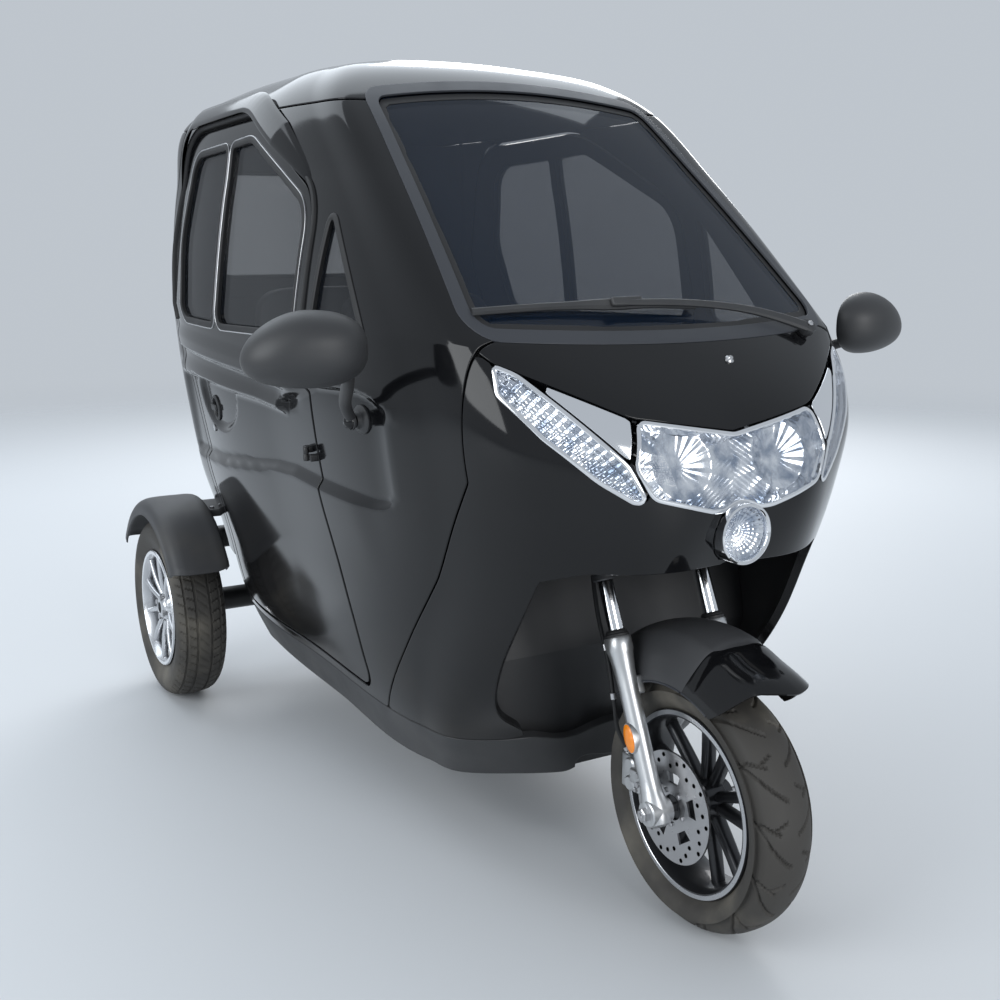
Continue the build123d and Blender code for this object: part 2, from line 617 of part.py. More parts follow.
# Rear mudguards: a rolled band with an inner web, on a bracket from the tail
guard_profile = [
    (REAR_GUARD_INNER_X, REAR_GUARD_R - 34), (REAR_GUARD_INNER_X, REAR_GUARD_R - 8),
    (REAR_GUARD_INNER_X + 12, REAR_GUARD_R), (REAR_GUARD_OUTER_X - 22, REAR_GUARD_R),
    (REAR_GUARD_OUTER_X, REAR_GUARD_R - 22), (REAR_GUARD_OUTER_X, REAR_GUARD_R - 42),
    (REAR_GUARD_OUTER_X - REAR_GUARD_T, REAR_GUARD_R - 42),
    (REAR_GUARD_OUTER_X - REAR_GUARD_T, REAR_GUARD_R - 24),
    (REAR_GUARD_OUTER_X - 24, REAR_GUARD_R - REAR_GUARD_T),
    (REAR_GUARD_INNER_X + 14, REAR_GUARD_R - REAR_GUARD_T),
    (REAR_GUARD_INNER_X + REAR_GUARD_T, REAR_GUARD_R - 11),
    (REAR_GUARD_INNER_X + REAR_GUARD_T, REAR_GUARD_R - 34),
]
guard_face = Rot(-REAR_GUARD_SPAN, 0, 0) * (Plane.XZ * make_face(Polyline(*guard_profile, close=True)))
rear_guard = Pos(0, REAR, REAR_TYRE_R) * revolve(guard_face, Axis.X, revolution_arc=2 * REAR_GUARD_SPAN)
guard_arm_z = REAR_TYRE_R + REAR_GUARD_R - GUARD_ARM_DROP
arm_y = (REAR + GUARD_ARM_Y[0], REAR + GUARD_ARM_Y[1])
guard_arm = box(330, REAR_GUARD_INNER_X + 2, *arm_y, guard_arm_z, guard_arm_z + GUARD_ARM_T)
guard_arm = largest(guard_arm - touching)
rear_guard_left = rear_guard + guard_arm

# Rear bumper bar with the number plate's bolt holes
bumper = box(-330, 330, RAIL_END_Y, RAIL_END_Y + BUMPER_D, RAIL_REAR_Z - BUMPER_H, RAIL_REAR_Z)
bumper = fillet(bumper.edges().filter_by(Axis.Z).sort_by(Axis.Y)[-2:], BUMPER_CORNER_R)
bumper_face_y = RAIL_END_Y + BUMPER_D
for x in (-PLATE_BOLTS / 2, PLATE_BOLTS / 2):
    bolt_z = RAIL_REAR_Z - BUMPER_H / 2
    bumper -= rod((x, bumper_face_y - PLATE_BOLT_DEPTH, bolt_z), (x, bumper_face_y, bolt_z), PLATE_BOLT_R)
rear_bumper = bumper


def tyre(radius, width, bead_r, rim_half_width, crown):
    """A tyre section of straight faces: bead, side wall, shoulder and crown."""
    half = width / 2
    middle_r = (radius + bead_r) / 2
    side = [
        (rim_half_width, bead_r), (rim_half_width, bead_r + BEAD_H), (half - 3, middle_r - 8),
        (half, middle_r + 8), (half - 6, radius - crown - 8), (half * 0.72, radius - crown * 0.45), (half * 0.3, radius),
    ]
    outline = side + [(-x, r) for x, r in reversed(side)]
    return wheel_ring(outline)


def rim(bead_r, sizes, bore_r, hub_low=None):
    """Barrel with two flanges, a bored hub and tapered spokes."""
    rim_half_width, spokes, spoke_w, hub_r, low, high = sizes
    hub_x = (low if hub_low is None else hub_low, high)
    flange_r = bead_r + FLANGE_H
    seat_x = rim_half_width + SEAT
    seat_r = bead_r - SEAT
    edge_x = seat_x + FLANGE_T
    inner_r = seat_r - BARREL_T
    barrel = [
        (seat_x, seat_r), (seat_x, flange_r), (edge_x, flange_r), (edge_x, inner_r),
        (-edge_x, inner_r), (-edge_x, flange_r), (-seat_x, flange_r), (-seat_x, seat_r),
    ]
    ring = wheel_ring(barrel)
    hub = wheel_ring([(hub_x[0], bore_r), (hub_x[0], hub_r), (hub_x[1], hub_r), (hub_x[1], bore_r)])
    wheel = ring + hub
    spoke = side_prism([(-spoke_w / 2, hub_r - 4), (spoke_w / 2, hub_r - 4), (spoke_w * 0.36, inner_r + 2),
                        (-spoke_w * 0.36, inner_r + 2)], -SPOKE_T / 2, SPOKE_T / 2)
    for index in range(spokes):
        wheel = wheel + Rot(360 / spokes * index, 0, 0) * spoke
    return wheel


# Wheels
front_tyre = tyre(FRONT_TYRE_R, FRONT_TYRE_W, FRONT_RIM_R, FRONT_RIM[0], FRONT_CROWN)
front_tyre = Pos(0, 0, FRONT_TYRE_R) * front_tyre
front_rim = rim(FRONT_RIM_R, FRONT_RIM, FRONT_AXLE_R + BEARING_GAP, DISC_X + DISC_T / 2)
front_rim = Pos(0, 0, FRONT_TYRE_R) * front_rim
disc_low, disc_high = DISC_X - DISC_T / 2, DISC_X + DISC_T / 2
disc_profile = [(disc_low, DISC_HOLE_R), (disc_low, DISC_R), (disc_high, DISC_R), (disc_high, DISC_HOLE_R)]
front_disc = wheel_ring(disc_profile)
slot = side_prism(DISC_SLOT, disc_low - 1, disc_high + 1)
for index in range(DISC_SLOTS):
    front_disc = front_disc - Rot(360 / DISC_SLOTS * index, 0, 0) * slot
front_disc = Pos(0, 0, FRONT_TYRE_R) * front_disc
rear_x = TRACK / 2
rear_at = Pos(rear_x, REAR, REAR_TYRE_R)
rear_tyre_left = rear_at * tyre(REAR_TYRE_R, REAR_TYRE_W, REAR_RIM_R, REAR_RIM[0], REAR_CROWN)
rear_rim_left = rear_at * rim(REAR_RIM_R, REAR_RIM, REAR_AXLE_STUB_R + BEARING_GAP)

# Steering: fork, brace, stem and bar
fork = rod((-FORK_HALF_SPREAD - 26, 0, FRONT_TYRE_R), (FORK_HALF_SPREAD + 26, 0, FRONT_TYRE_R), FRONT_AXLE_R)
for side in (-1, 1):
    x = side * FORK_HALF_SPREAD
    fork += rod((x, 0, FRONT_TYRE_R), fork_point(SLIDER_TOP_Z, x), SLIDER_R)
    foot_half = SLIDER_FOOT_W / 2
    fork += rod((x - foot_half, 0, FRONT_TYRE_R), (x + foot_half, 0, FRONT_TYRE_R), SLIDER_R + 2)
    fork += rod(fork_point(SLIDER_TOP_Z - 30, x), fork_point(YOKE_Z, x), STANCHION_R)
yoke_half = FORK_HALF_SPREAD + STANCHION_R + YOKE_LIP
fork_line = -FORK_SETBACK
yoke_outline = [
    (-yoke_half, fork_line - SLIDER_R), (yoke_half, fork_line - SLIDER_R), (yoke_half, fork_line + SLIDER_R),
    (yoke_half * 0.4, STEM_R * 2), (-yoke_half * 0.4, STEM_R * 2), (-yoke_half, fork_line + SLIDER_R),
]
yoke_along = rake_length(YOKE_Z, FORK_SETBACK)
yoke = extrude(make_face(Polyline(*yoke_outline, close=True)), YOKE_T)
fork += axis_plane.offset(yoke_along - YOKE_T / 2) * yoke
bar_along = rake_length(BAR_Z, FORK_SETBACK)
fork += on_stem(yoke_along, bar_along - BAR_R - SEAT, STEM_R)
bar_y, bar_z = on_rake(bar_along, FORK_SETBACK)
handlebar = rod((-BAR_HALF_LENGTH, bar_y, bar_z), (BAR_HALF_LENGTH, bar_y, bar_z), BAR_R)
for side in (-1, 1):
    handlebar += rod((side * BAR_GRIP_X, bar_y, bar_z), (side * BAR_HALF_LENGTH, bar_y, bar_z), BAR_GRIP_R)
    lever_root = (side * LEVER_FROM[0], bar_y - LEVER_FROM[1], bar_z)
    lever_tip = (side * LEVER_TO[0], bar_y - LEVER_TO[1], bar_z + LEVER_TO[2])
    handlebar += rod(lever_root, lever_tip, LEVER_R)
handlebar += box(-CLAMP[0], CLAMP[0], bar_y - CLAMP[1], bar_y + CLAMP[1], bar_z - 2, bar_z + CLAMP[2])

guard_half = FORK_HALF_SPREAD - SLIDER_R - SEAT
inner_half = guard_half - FRONT_GUARD_T
edge_r = FRONT_GUARD_EDGE_R
lip_r = FRONT_GUARD_EDGE_R - FRONT_GUARD_LIP
guard_outline = [
    Line((-guard_half, lip_r), (-guard_half, edge_r)),
    ThreePointArc((-guard_half, edge_r), (0, FRONT_GUARD_R), (guard_half, edge_r)),
    Line((guard_half, edge_r), (guard_half, lip_r)),
    Line((guard_half, lip_r), (inner_half, lip_r)),
    Line((inner_half, lip_r), (inner_half, edge_r)),
    ThreePointArc((inner_half, edge_r), (0, FRONT_GUARD_R - FRONT_GUARD_T), (-inner_half, edge_r)),
    Line((-inner_half, edge_r), (-inner_half, lip_r)),
    Line((-inner_half, lip_r), (-guard_half, lip_r)),
]
guard_face = Rot(-FRONT_GUARD_BEHIND, 0, 0) * (Plane.XZ * make_face(guard_outline))
front_mudguard = revolve(guard_face, Axis.X, revolution_arc=FRONT_GUARD_AHEAD + FRONT_GUARD_BEHIND)
front_mudguard = Pos(0, 0, FRONT_TYRE_R) * front_mudguard

caliper = box(DISC_X - CALIPER_W / 2, DISC_X + CALIPER_W / 2, *CALIPER_Y, *CALIPER_Z)
caliper -= box(disc_low - GAP, disc_high + GAP, 0, DISC_R + 2 * GAP, CALIPER_Z[0] - 1, CALIPER_Z[1] + 1)
caliper += box(-FORK_HALF_SPREAD + 3, disc_low - GAP - 1, *BRACKET_Y, *BRACKET_Z)
slider_x = -FORK_HALF_SPREAD
caliper -= rod((slider_x, 0, FRONT_TYRE_R), fork_point(SLIDER_TOP_Z, slider_x), SLIDER_R + SEAT)
caliper = largest(caliper)
reflector_at = fork_point(REFLECTOR_Z)
reflector = Pos(FORK_HALF_SPREAD + SLIDER_R + SEAT, reflector_at[1], reflector_at[2])
reflector = reflector * extrude(Plane.YZ * Rot(0, 0, 90 - RAKE) * Ellipse(*REFLECTOR_R), amount=REFLECTOR_T)
fork_reflectors = both(reflector)

NODES = {
    "nose_fairing": nose_fairing, "hood": hood, "headlamp_lens": headlamp_lens, "lamp_plates": lamp_plates,
    "lamp_strips": lamp_strips, "round_lamp": round_lamp, "windscreen": windscreen, "wiper": wiper,
    "side_frame_left": side_left, "side_frame_right": mirrored(side_left), "quarter_glass": quarter_glass,
    "roof": roof, "rain_visors": both(visor_left), "tail_body": tail_body, "rear_window": rear_window,
    "tail_lamps": tail_lamps, "rear_bumper": rear_bumper, "skirt": skirt, "wheel_liner": liner,
    "chassis": chassis, "floor_pan": floor_pan, "battery_box": battery_box, "driver_seat": driver_seat,
    "passenger_seat": passenger_seat, "dashboard": dashboard, "mirror_left": mirror_left,
    "mirror_right": mirrored(mirror_left), "rear_axle": rear_axle, "rear_springs": rear_springs,
    "rear_mudguard_left": rear_guard_left, "rear_mudguard_right": mirrored(rear_guard_left),
    "door_left": door_left, "door_right": mirrored(door_left), "door_glass_left": door_glass_left,
    "door_glass_right": mirrored(door_glass_left), "door_handle_left": handle_left,
    "door_handle_right": mirrored(handle_left), "fork": fork, "handlebar": handlebar,
    "front_mudguard": front_mudguard, "caliper": caliper, "fork_reflectors": fork_reflectors,
    "front_tyre": front_tyre, "front_rim": front_rim, "front_disc": front_disc,
    "rear_tyre_left": rear_tyre_left, "rear_rim_left": rear_rim_left,
    "rear_tyre_right": mirrored(rear_tyre_left), "rear_rim_right": mirrored(rear_rim_left),
}
os.makedirs("parts", exist_ok=True)
for node, shape in NODES.items():
    save(node, shape)
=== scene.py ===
# %% [markdown]
# # Three-wheeled cabin car
# The object is a small closed car on three wheels: a gloss black shell, a fork with one wheel in front,
# and two wheels under their own mudguards behind. Its CAD pieces come in first, as one frame of named
# nodes on moving bodies. They could simply be painted, but a faceted shell gives itself away in every
# reflection. So most are rebuilt as smooth surfaces from formulas, and the few that hardly show keep
# their CAD mesh.
#
# Lengths below are millimetres and y counts back from the front axle, as in the CAD source.

import json
import math

import bpy
import numpy as np
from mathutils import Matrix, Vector

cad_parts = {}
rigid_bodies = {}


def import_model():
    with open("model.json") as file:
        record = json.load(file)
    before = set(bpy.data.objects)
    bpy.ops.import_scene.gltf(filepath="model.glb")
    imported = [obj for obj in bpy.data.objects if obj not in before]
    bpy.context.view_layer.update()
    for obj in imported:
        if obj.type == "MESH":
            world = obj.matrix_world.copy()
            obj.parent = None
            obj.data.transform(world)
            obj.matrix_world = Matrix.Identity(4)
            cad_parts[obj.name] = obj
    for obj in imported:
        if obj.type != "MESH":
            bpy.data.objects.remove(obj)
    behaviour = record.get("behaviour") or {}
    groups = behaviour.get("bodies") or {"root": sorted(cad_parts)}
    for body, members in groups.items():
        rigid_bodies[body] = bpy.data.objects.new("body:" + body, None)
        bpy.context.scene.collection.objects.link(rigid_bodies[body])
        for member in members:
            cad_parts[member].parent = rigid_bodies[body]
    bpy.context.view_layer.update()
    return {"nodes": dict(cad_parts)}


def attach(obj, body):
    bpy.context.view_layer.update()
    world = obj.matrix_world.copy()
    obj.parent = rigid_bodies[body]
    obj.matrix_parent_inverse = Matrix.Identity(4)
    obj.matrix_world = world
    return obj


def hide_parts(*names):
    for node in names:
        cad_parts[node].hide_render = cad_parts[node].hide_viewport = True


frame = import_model()
NODES = frame["nodes"]
MIDDLE_Y = 862.5019  # the frame's centre, in the CAD source's y
FRONT_R, REAR_R = 243, 247  # tyre radii
REAR, HALF_TRACK = 1703, 497  # the rear axle's y, and its wheels' x
FRONT_AXLE, REAR_AXLE = (0, 0, FRONT_R), (HALF_TRACK, REAR, REAR_R)

# %% [markdown]
# ## Shader values as Python numbers
# A finish is a web of small nodes. Wiring them one by one hides the formula behind them. Here `Sock`
# wraps one output, so that Python's operators build the Math nodes, and a pattern reads like its formula,
# such as 1 - mask. Every node comes from one method, `Paint.node`, which takes a kind, its sockets and
# its settings.


# %% A shader value and a material
class Sock:
    """One output of a paint's nodes. Sums, products and 1 - value make the Math nodes for them."""

    def __init__(self, paint, out):
        self.paint, self.out = paint, out

    def math(self, kind, *others):
        """A Math node of that kind over this and the others."""
        made = self.paint.node("Math", dict(enumerate((self, *others))), operation=kind)
        return Sock(self.paint, made.outputs[0])

    def __add__(self, other):
        return self.math("ADD", other)

    def __mul__(self, other):
        return self.math("MULTIPLY", other)

    def __rsub__(self, other):
        return self * -1.0 + other

    __radd__, __rmul__ = __add__, __mul__

    def ramp(self, low, high):
        """0 below low, 1 above high, smooth between."""
        sockets = {"Value": self, "From Min": low, "From Max": high}
        made = self.paint.node("MapRange", sockets, interpolation_type="SMOOTHSTEP")
        return Sock(self.paint, made.outputs["Result"])


class Paint:
    """One Principled material whose patterns run on Object coordinates, in metres."""

    def __init__(self, name, color, rough, metal=0.0, coat=0.0, alpha=1.0, specular=0.5):
        self.mat = bpy.data.materials.new(name)
        self.mat.use_nodes = True
        self.tree = self.mat.node_tree
        self.shader = self.tree.nodes["Principled BSDF"]
        self.color = (*color, 1.0)
        self.fill(self.shader, {
            "Base Color": self.color, "Roughness": rough, "Metallic": metal, "Coat Weight": coat,
            "Coat Roughness": 0.04, "Alpha": alpha, "Specular IOR Level": specular,
        })
        self.where = Sock(self, self.node("TexCoord", {}).outputs["Object"])
        split = self.node("SeparateXYZ", {0: self.where})
        self.x, self.y, self.z = (Sock(self, split.outputs[k]) for k in range(3))

    def fill(self, node, sockets):
        """Each socket gets its value, or a link where the value is a Sock."""
        for key, value in sockets.items():
            if isinstance(value, Sock):
                self.tree.links.new(value.out, node.inputs[key])
            else:
                node.inputs[key].default_value = value

    def node(self, kind, sockets, **settings):
        """A new node: its settings first, then its sockets."""
        made = self.tree.nodes.new(f"ShaderNode{kind}")
        for key, value in settings.items():
            setattr(made, key, value)
        self.fill(made, sockets)
        return made

    def feed(self, name, sock):
        """sock drives that input of the shader."""
        self.fill(self.shader, {name: sock})
        return self

    def noise(self, scale, detail):
        """Noise of so many cells a metre."""
        made = self.node("TexNoise", {"Scale": scale, "Detail": detail, "Vector": self.where})
        return Sock(self, made.outputs[0])

    def tint(self, sock, other):
        """Base colour runs to another colour where sock is 1."""
        first, second, result = 6, 7, 2  # the colour sockets of a Mix node
        made = self.node("Mix", {"Factor": sock, first: self.color, second: (*other, 1.0)}, data_type="RGBA")
        return self.feed("Base Color", Sock(self, made.outputs[result]))

    def bump(self, sock, distance, strength):
        """Height in metres times sock becomes the normal."""
        made = self.node("Bump", {"Distance": distance, "Strength": strength, "Height": sock})
        return self.feed("Normal", Sock(self, made.outputs[0]))


# %% [markdown]
# ## Finishes
# The car has gloss paint, grained plastic, rubber, cast and polished metal, and smoked or clear glass.
# Pictures wrapped round the pieces would need seams and show their pixels. Here each finish is a formula
# in metres on Object coordinates, so its grain has the same size on every piece. Roughness or tint always
# wanders slowly, because no real surface is a flat swatch.


# %% Two families of finish
def varied(paint, low, high, scale):
    """Roughness wanders between low and high. Noise keeps to its middle, so it is stretched about it."""
    stretch = 1.6
    start = low - (high - low) * (stretch - 1) / 2
    return paint.feed("Roughness", paint.noise(scale, 4.0) * (high - low) * stretch + start)


def grained(name, color, rough, grain=900.0, depth=0.00015, other=None):
    """Moulded plastic with a fine grain."""
    paint = varied(Paint(name, color, rough), rough - 0.06, rough + 0.08, 9.0)
    paint.bump(paint.noise(grain, 2.0), depth, 0.6)
    if other:
        paint.tint(paint.noise(5.0, 5.0).ramp(0.45, 0.75), other)
    return paint


# %% Paint, plastics and rubber
black = varied(Paint("gloss_black", (0.005, 0.0052, 0.006), 0.07, specular=0.36), 0.05, 0.13, 3.0)
low_down = (0.62 - black.z).ramp(0.0, 0.5)
black.tint(low_down * black.noise(7.0, 6.0).ramp(0.4, 0.8), (0.022, 0.019, 0.016))
trim = grained("trim_plastic", (0.028, 0.029, 0.031), 0.48, other=(0.045, 0.045, 0.046))
guard = grained("mudguard_plastic", (0.042, 0.043, 0.046), 0.5, other=(0.06, 0.058, 0.055))
liner_mat = grained("cabin_lining", (0.03, 0.03, 0.032), 0.62, 500.0)
rubber = grained("seal_rubber", (0.012, 0.012, 0.013), 0.6, 700.0)
tread_rubber = grained("tyre_rubber", (0.042, 0.039, 0.035), 0.7, 600.0, 0.0003, (0.16, 0.145, 0.118))
seat_mat = grained("seat_cover", (0.035, 0.035, 0.037), 0.55, 350.0, 0.0006)
frame_mat = grained("frame_enamel", (0.018, 0.018, 0.019), 0.42, 300.0)

# %% Metals
chrome = varied(Paint("chrome", (0.80, 0.81, 0.83), 0.08, metal=1.0), 0.05, 0.12, 6.0)
silver = varied(Paint("cast_silver", (0.56, 0.57, 0.58), 0.34, metal=0.9), 0.27, 0.42, 20.0)
steel = varied(Paint("brushed_steel", (0.52, 0.52, 0.53), 0.3, metal=1.0), 0.24, 0.4, 60.0)
dark_alloy = varied(Paint("dark_alloy", (0.035, 0.036, 0.04), 0.33, metal=0.6, coat=0.3), 0.26, 0.42, 12.0)
bright_alloy = varied(Paint("bright_alloy", (0.6, 0.61, 0.63), 0.26, metal=1.0), 0.2, 0.34, 12.0)

# %% Windscreen strip, glass, lenses and reflectors
grey_strip = varied(Paint("grey_strip", (0.03, 0.033, 0.04), 0.42), 0.36, 0.5, 14.0)
glass = varied(Paint("window_glass", (0.012, 0.014, 0.018), 0.03, alpha=0.38), 0.02, 0.05, 4.0)
screen = varied(Paint("screen_glass", (0.005, 0.012, 0.026), 0.03, alpha=0.5), 0.02, 0.05, 4.0)
clear = varied(Paint("clear_lens", (0.4, 0.44, 0.5), 0.03, alpha=0.07, coat=1.0), 0.02, 0.05, 9.0)
reflector = varied(Paint("lamp_reflector", (0.88, 0.9, 0.93), 0.14, metal=1.0), 0.08, 0.24, 9.0)
reflector.tint(reflector.noise(30.0, 3.0).ramp(0.3, 0.75), (0.2, 0.26, 0.36))
amber = varied(Paint("amber", (0.86, 0.25, 0.01), 0.18, coat=0.6), 0.14, 0.25, 30.0)
red = varied(Paint("red_lens", (0.36, 0.006, 0.008), 0.12, coat=0.8), 0.1, 0.18, 30.0)
for lens in (red, amber):
    lens.bump((lens.x * 420.0).math("SINE") * (lens.z * 420.0).math("SINE"), 0.0006, 0.5)
mirror_mat = varied(Paint("mirror_glass", (0.75, 0.78, 0.8), 0.03, metal=1.0), 0.02, 0.05, 9.0)
battery_mat = grained("battery_case", (0.05, 0.05, 0.055), 0.5)

# %% CAD nodes that stay in sight
# Pieces below stand for all the others.
DRESS = {
    "wheel_liner": trim, "chassis": frame_mat, "floor_pan": liner_mat, "battery_box": battery_mat,
    "dashboard": liner_mat, "rear_axle": frame_mat, "rear_springs": steel, "front_disc": steel,
}
for node, piece in NODES.items():
    piece.data.materials.clear()
    piece.data.materials.append(DRESS.get(node, trim).mat)
print("materials", len(bpy.data.materials))

# %% [markdown]
# ## Meshes from arrays
# Modelling these pieces by hand would be slow and hard to change. Here each one is a grid of points that
# numpy works out at once from a formula. A `Shape` gathers such patches, each with its own material, and
# becomes one mesh object at the origin. Lathes and sweeps are grids that close on themselves.


# %% A shape gathered from patches
class Shape:
    """Vertices in mm and faces of three or four corners, gathered patch by patch."""

    def __init__(self):
        self.verts, self.normals, self.faces, self.slots, self.count = [], [], [], [], 0

    def add(self, verts, faces, slot=0, normals=None):
        """One more patch. Its normals are kept where they are given."""
        verts = np.asarray(verts, float).reshape(-1, 3)
        self.verts.append(verts)
        self.normals.append(normals if normals is None else np.asarray(normals, float).reshape(-1, 3))
        self.faces += [[int(k) + self.count for k in face] for face in faces]
        self.slots += [slot] * len(faces)
        self.count += len(verts)
        return self

    def both(self):
        """This and its mirror image in x, as one shape."""
        return joined(self, self.mirrored())

    def mirrored(self):
        """The mirror image in x, its faces turned round."""
        made = Shape()
        made.verts = [v * (-1, 1, 1) for v in self.verts]
        made.normals = [None if n is None else n * (-1, 1, 1) for n in self.normals]
        made.faces = [list(reversed(face)) for face in self.faces]
        made.slots, made.count = list(self.slots), self.count
        return made

    def make(self, name, paints, body="root", stands_for=(), sharp=38.0):
        """The mesh object, riding on a body and standing for CAD nodes."""
        mesh = bpy.data.meshes.new(name)
        at = (np.concatenate(self.verts) - (0, MIDDLE_Y, 0)) / 1000.0
        mesh.from_pydata(at.tolist(), [], self.faces)
        mesh.polygons.foreach_set("use_smooth", np.ones(len(self.faces), bool))
        mesh.polygons.foreach_set("material_index", np.array(self.slots, np.int32))
        for paint in paints:
            mesh.materials.append(paint.mat)
        if all(n is not None for n in self.normals):
            mesh.normals_split_custom_set_from_vertices(np.concatenate(self.normals).tolist())
        else:
            mesh.set_sharp_from_angle(angle=math.radians(sharp))
        mesh.update()
        made = bpy.data.objects.new(name, mesh)
        bpy.context.scene.collection.objects.link(made)
        if stands_for:
            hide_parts(*stands_for)
        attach(made, body)
        return made


def joined(*shapes):
    """Several shapes as one."""
    made = Shape()
    for shape in shapes:
        made.verts += shape.verts
        made.normals += shape.normals
        made.faces += [[k + made.count for k in face] for face in shape.faces]
        made.slots += shape.slots
        made.count += shape.count
    return made


def pair(shape, name, paints, bodies=("root", "root"), stem=None):
    """The piece and its mirror image, left first, in place of the nodes stem_left and stem_right."""
    for made, hand, body in ((shape, "left", bodies[0]), (shape.mirrored(), "right", bodies[1])):
        made.make(f"{name}_{hand}", paints, body, [f"{stem}_{hand}"] if stem else ())


# %% Counting what is made
SEEN = set(bpy.data.objects.keys())


def tally(step):
    """Print the pieces made since the last call, and their faces."""
    fresh = [o for o in bpy.data.objects if o.type == "MESH" and o.name not in SEEN]
    SEEN.update(o.name for o in fresh)
    print(f"{step}: {len(fresh)} pieces, {sum(len(o.data.polygons) for o in fresh)} faces")


print("objects in the frame", len(SEEN))


# %% Grids, lathes and sweeps
def quads(rows, cols, round_rows=False, round_cols=False):
    """Quads of a rows x cols grid of vertices, closed round either way."""
    r = np.arange(rows if round_rows else rows - 1)[:, None]
    c = np.arange(cols if round_cols else cols - 1)[None, :]
    r1, c1 = (r + 1) % rows, (c + 1) % cols
    cells = np.stack(np.broadcast_arrays(r * cols + c, r * cols + c1, r1 * cols + c1, r1 * cols + c), -1)
    return cells.reshape(-1, 4)


def full_turn(steps):
    """Angles of one full turn."""
    return np.linspace(0, 2 * np.pi, steps, endpoint=False)


def unit(vectors):
    """Vectors brought to length 1 along the last axis."""
    return vectors / np.maximum(np.linalg.norm(vectors, axis=-1, keepdims=True), 1e-9)


def run_along(line):
    """Distance run along a line of points, from 0 at its start."""
    return np.concatenate([[0], np.cumsum(np.linalg.norm(np.diff(line, axis=0), axis=1))])


def turned(profile, steps, at=(0, 0, 0), closed=True):
    """Lathe about the axle line: (x, r) -> (x, r sin a, r cos a)."""
    x, r = np.asarray(profile, float).T
    angle = full_turn(steps)[:, None]
    verts = np.stack([x + 0 * angle, np.sin(angle) * r, np.cos(angle) * r], -1) + np.asarray(at, float)
    return verts, quads(steps, len(x), True, closed)


def swept(path, ring, up, scale=1.0):
    """A closed ring (a, b) carried along an open path: P + a s + b (s x t), s = t x up."""
    path = np.asarray(path, float)
    ring = np.asarray(ring, float)
    ahead = np.roll(path, -1, 0) - np.roll(path, 1, 0)
    ahead[0], ahead[-1] = path[1] - path[0], path[-1] - path[-2]
    ahead = unit(ahead)
    across = unit(np.cross(ahead, up))
    over = np.cross(across, ahead)
    grown = ring[None] * np.broadcast_to(scale, len(path))[:, None, None]
    verts = path[:, None] + grown[..., :1] * across[:, None] + grown[..., 1:] * over[:, None]
    last = (len(path) - 1) * len(ring)
    faces = quads(len(path), len(ring), False, True).tolist()
    faces += [list(range(len(ring))), [last + k for k in reversed(range(len(ring)))]]
    return verts, faces


def circle(radius, sides):
    """The ring of a round section."""
    return radius * np.stack([np.cos(full_turn(sides)), np.sin(full_turn(sides))], -1)


# %% Splines
def curve(points, steps):
    """A smooth path through points."""
    knots = run_along(points)
    return spline(knots, points, np.linspace(0, knots[-1], steps))


def spline(knots, values, at):
    """Cubic Hermite: p = h00 p0 + h10 h m0 + h01 p1 + h11 h m1, tangents m from both neighbours."""
    knots, values, at = (np.asarray(a, float) for a in (knots, values, at))
    step = np.diff(knots).reshape(-1, *[1] * (values.ndim - 1))
    slope = np.diff(values, axis=0) / step
    bend = np.empty_like(values)
    if len(knots) > 2:
        bend[1:-1] = (step[1:] * slope[:-1] + step[:-1] * slope[1:]) / (step[:-1] + step[1:])
        bend[0], bend[-1] = 1.5 * slope[0] - 0.5 * bend[1], 1.5 * slope[-1] - 0.5 * bend[-2]
    else:
        bend[:] = slope[0]
    cell = np.clip(np.searchsorted(knots, at, side="right") - 1, 0, len(step) - 1)
    part = ((at - knots[cell]) / np.diff(knots)[cell]).reshape(-1, *[1] * (values.ndim - 1))
    run = step[cell]
    one, two = part * part, part * part * part
    return (
        (2 * two - 3 * one + 1) * values[cell] + (two - 2 * one + part) * run * bend[cell]
        + (3 * one - 2 * two) * values[cell + 1] + (two - one) * run * bend[cell + 1]
    )


# %% [markdown]
# ## One smooth skin
# The cabin is one moulded shell, whose long highlights show every bump. A box under Subdivision Surface
# would drift from the CAD's outlines. Here those level outlines are the control net of a bicubic surface
# P(s, t): s runs round the body, t up it. The belt line stays a crease, because the net is splined below
# and above it apart.

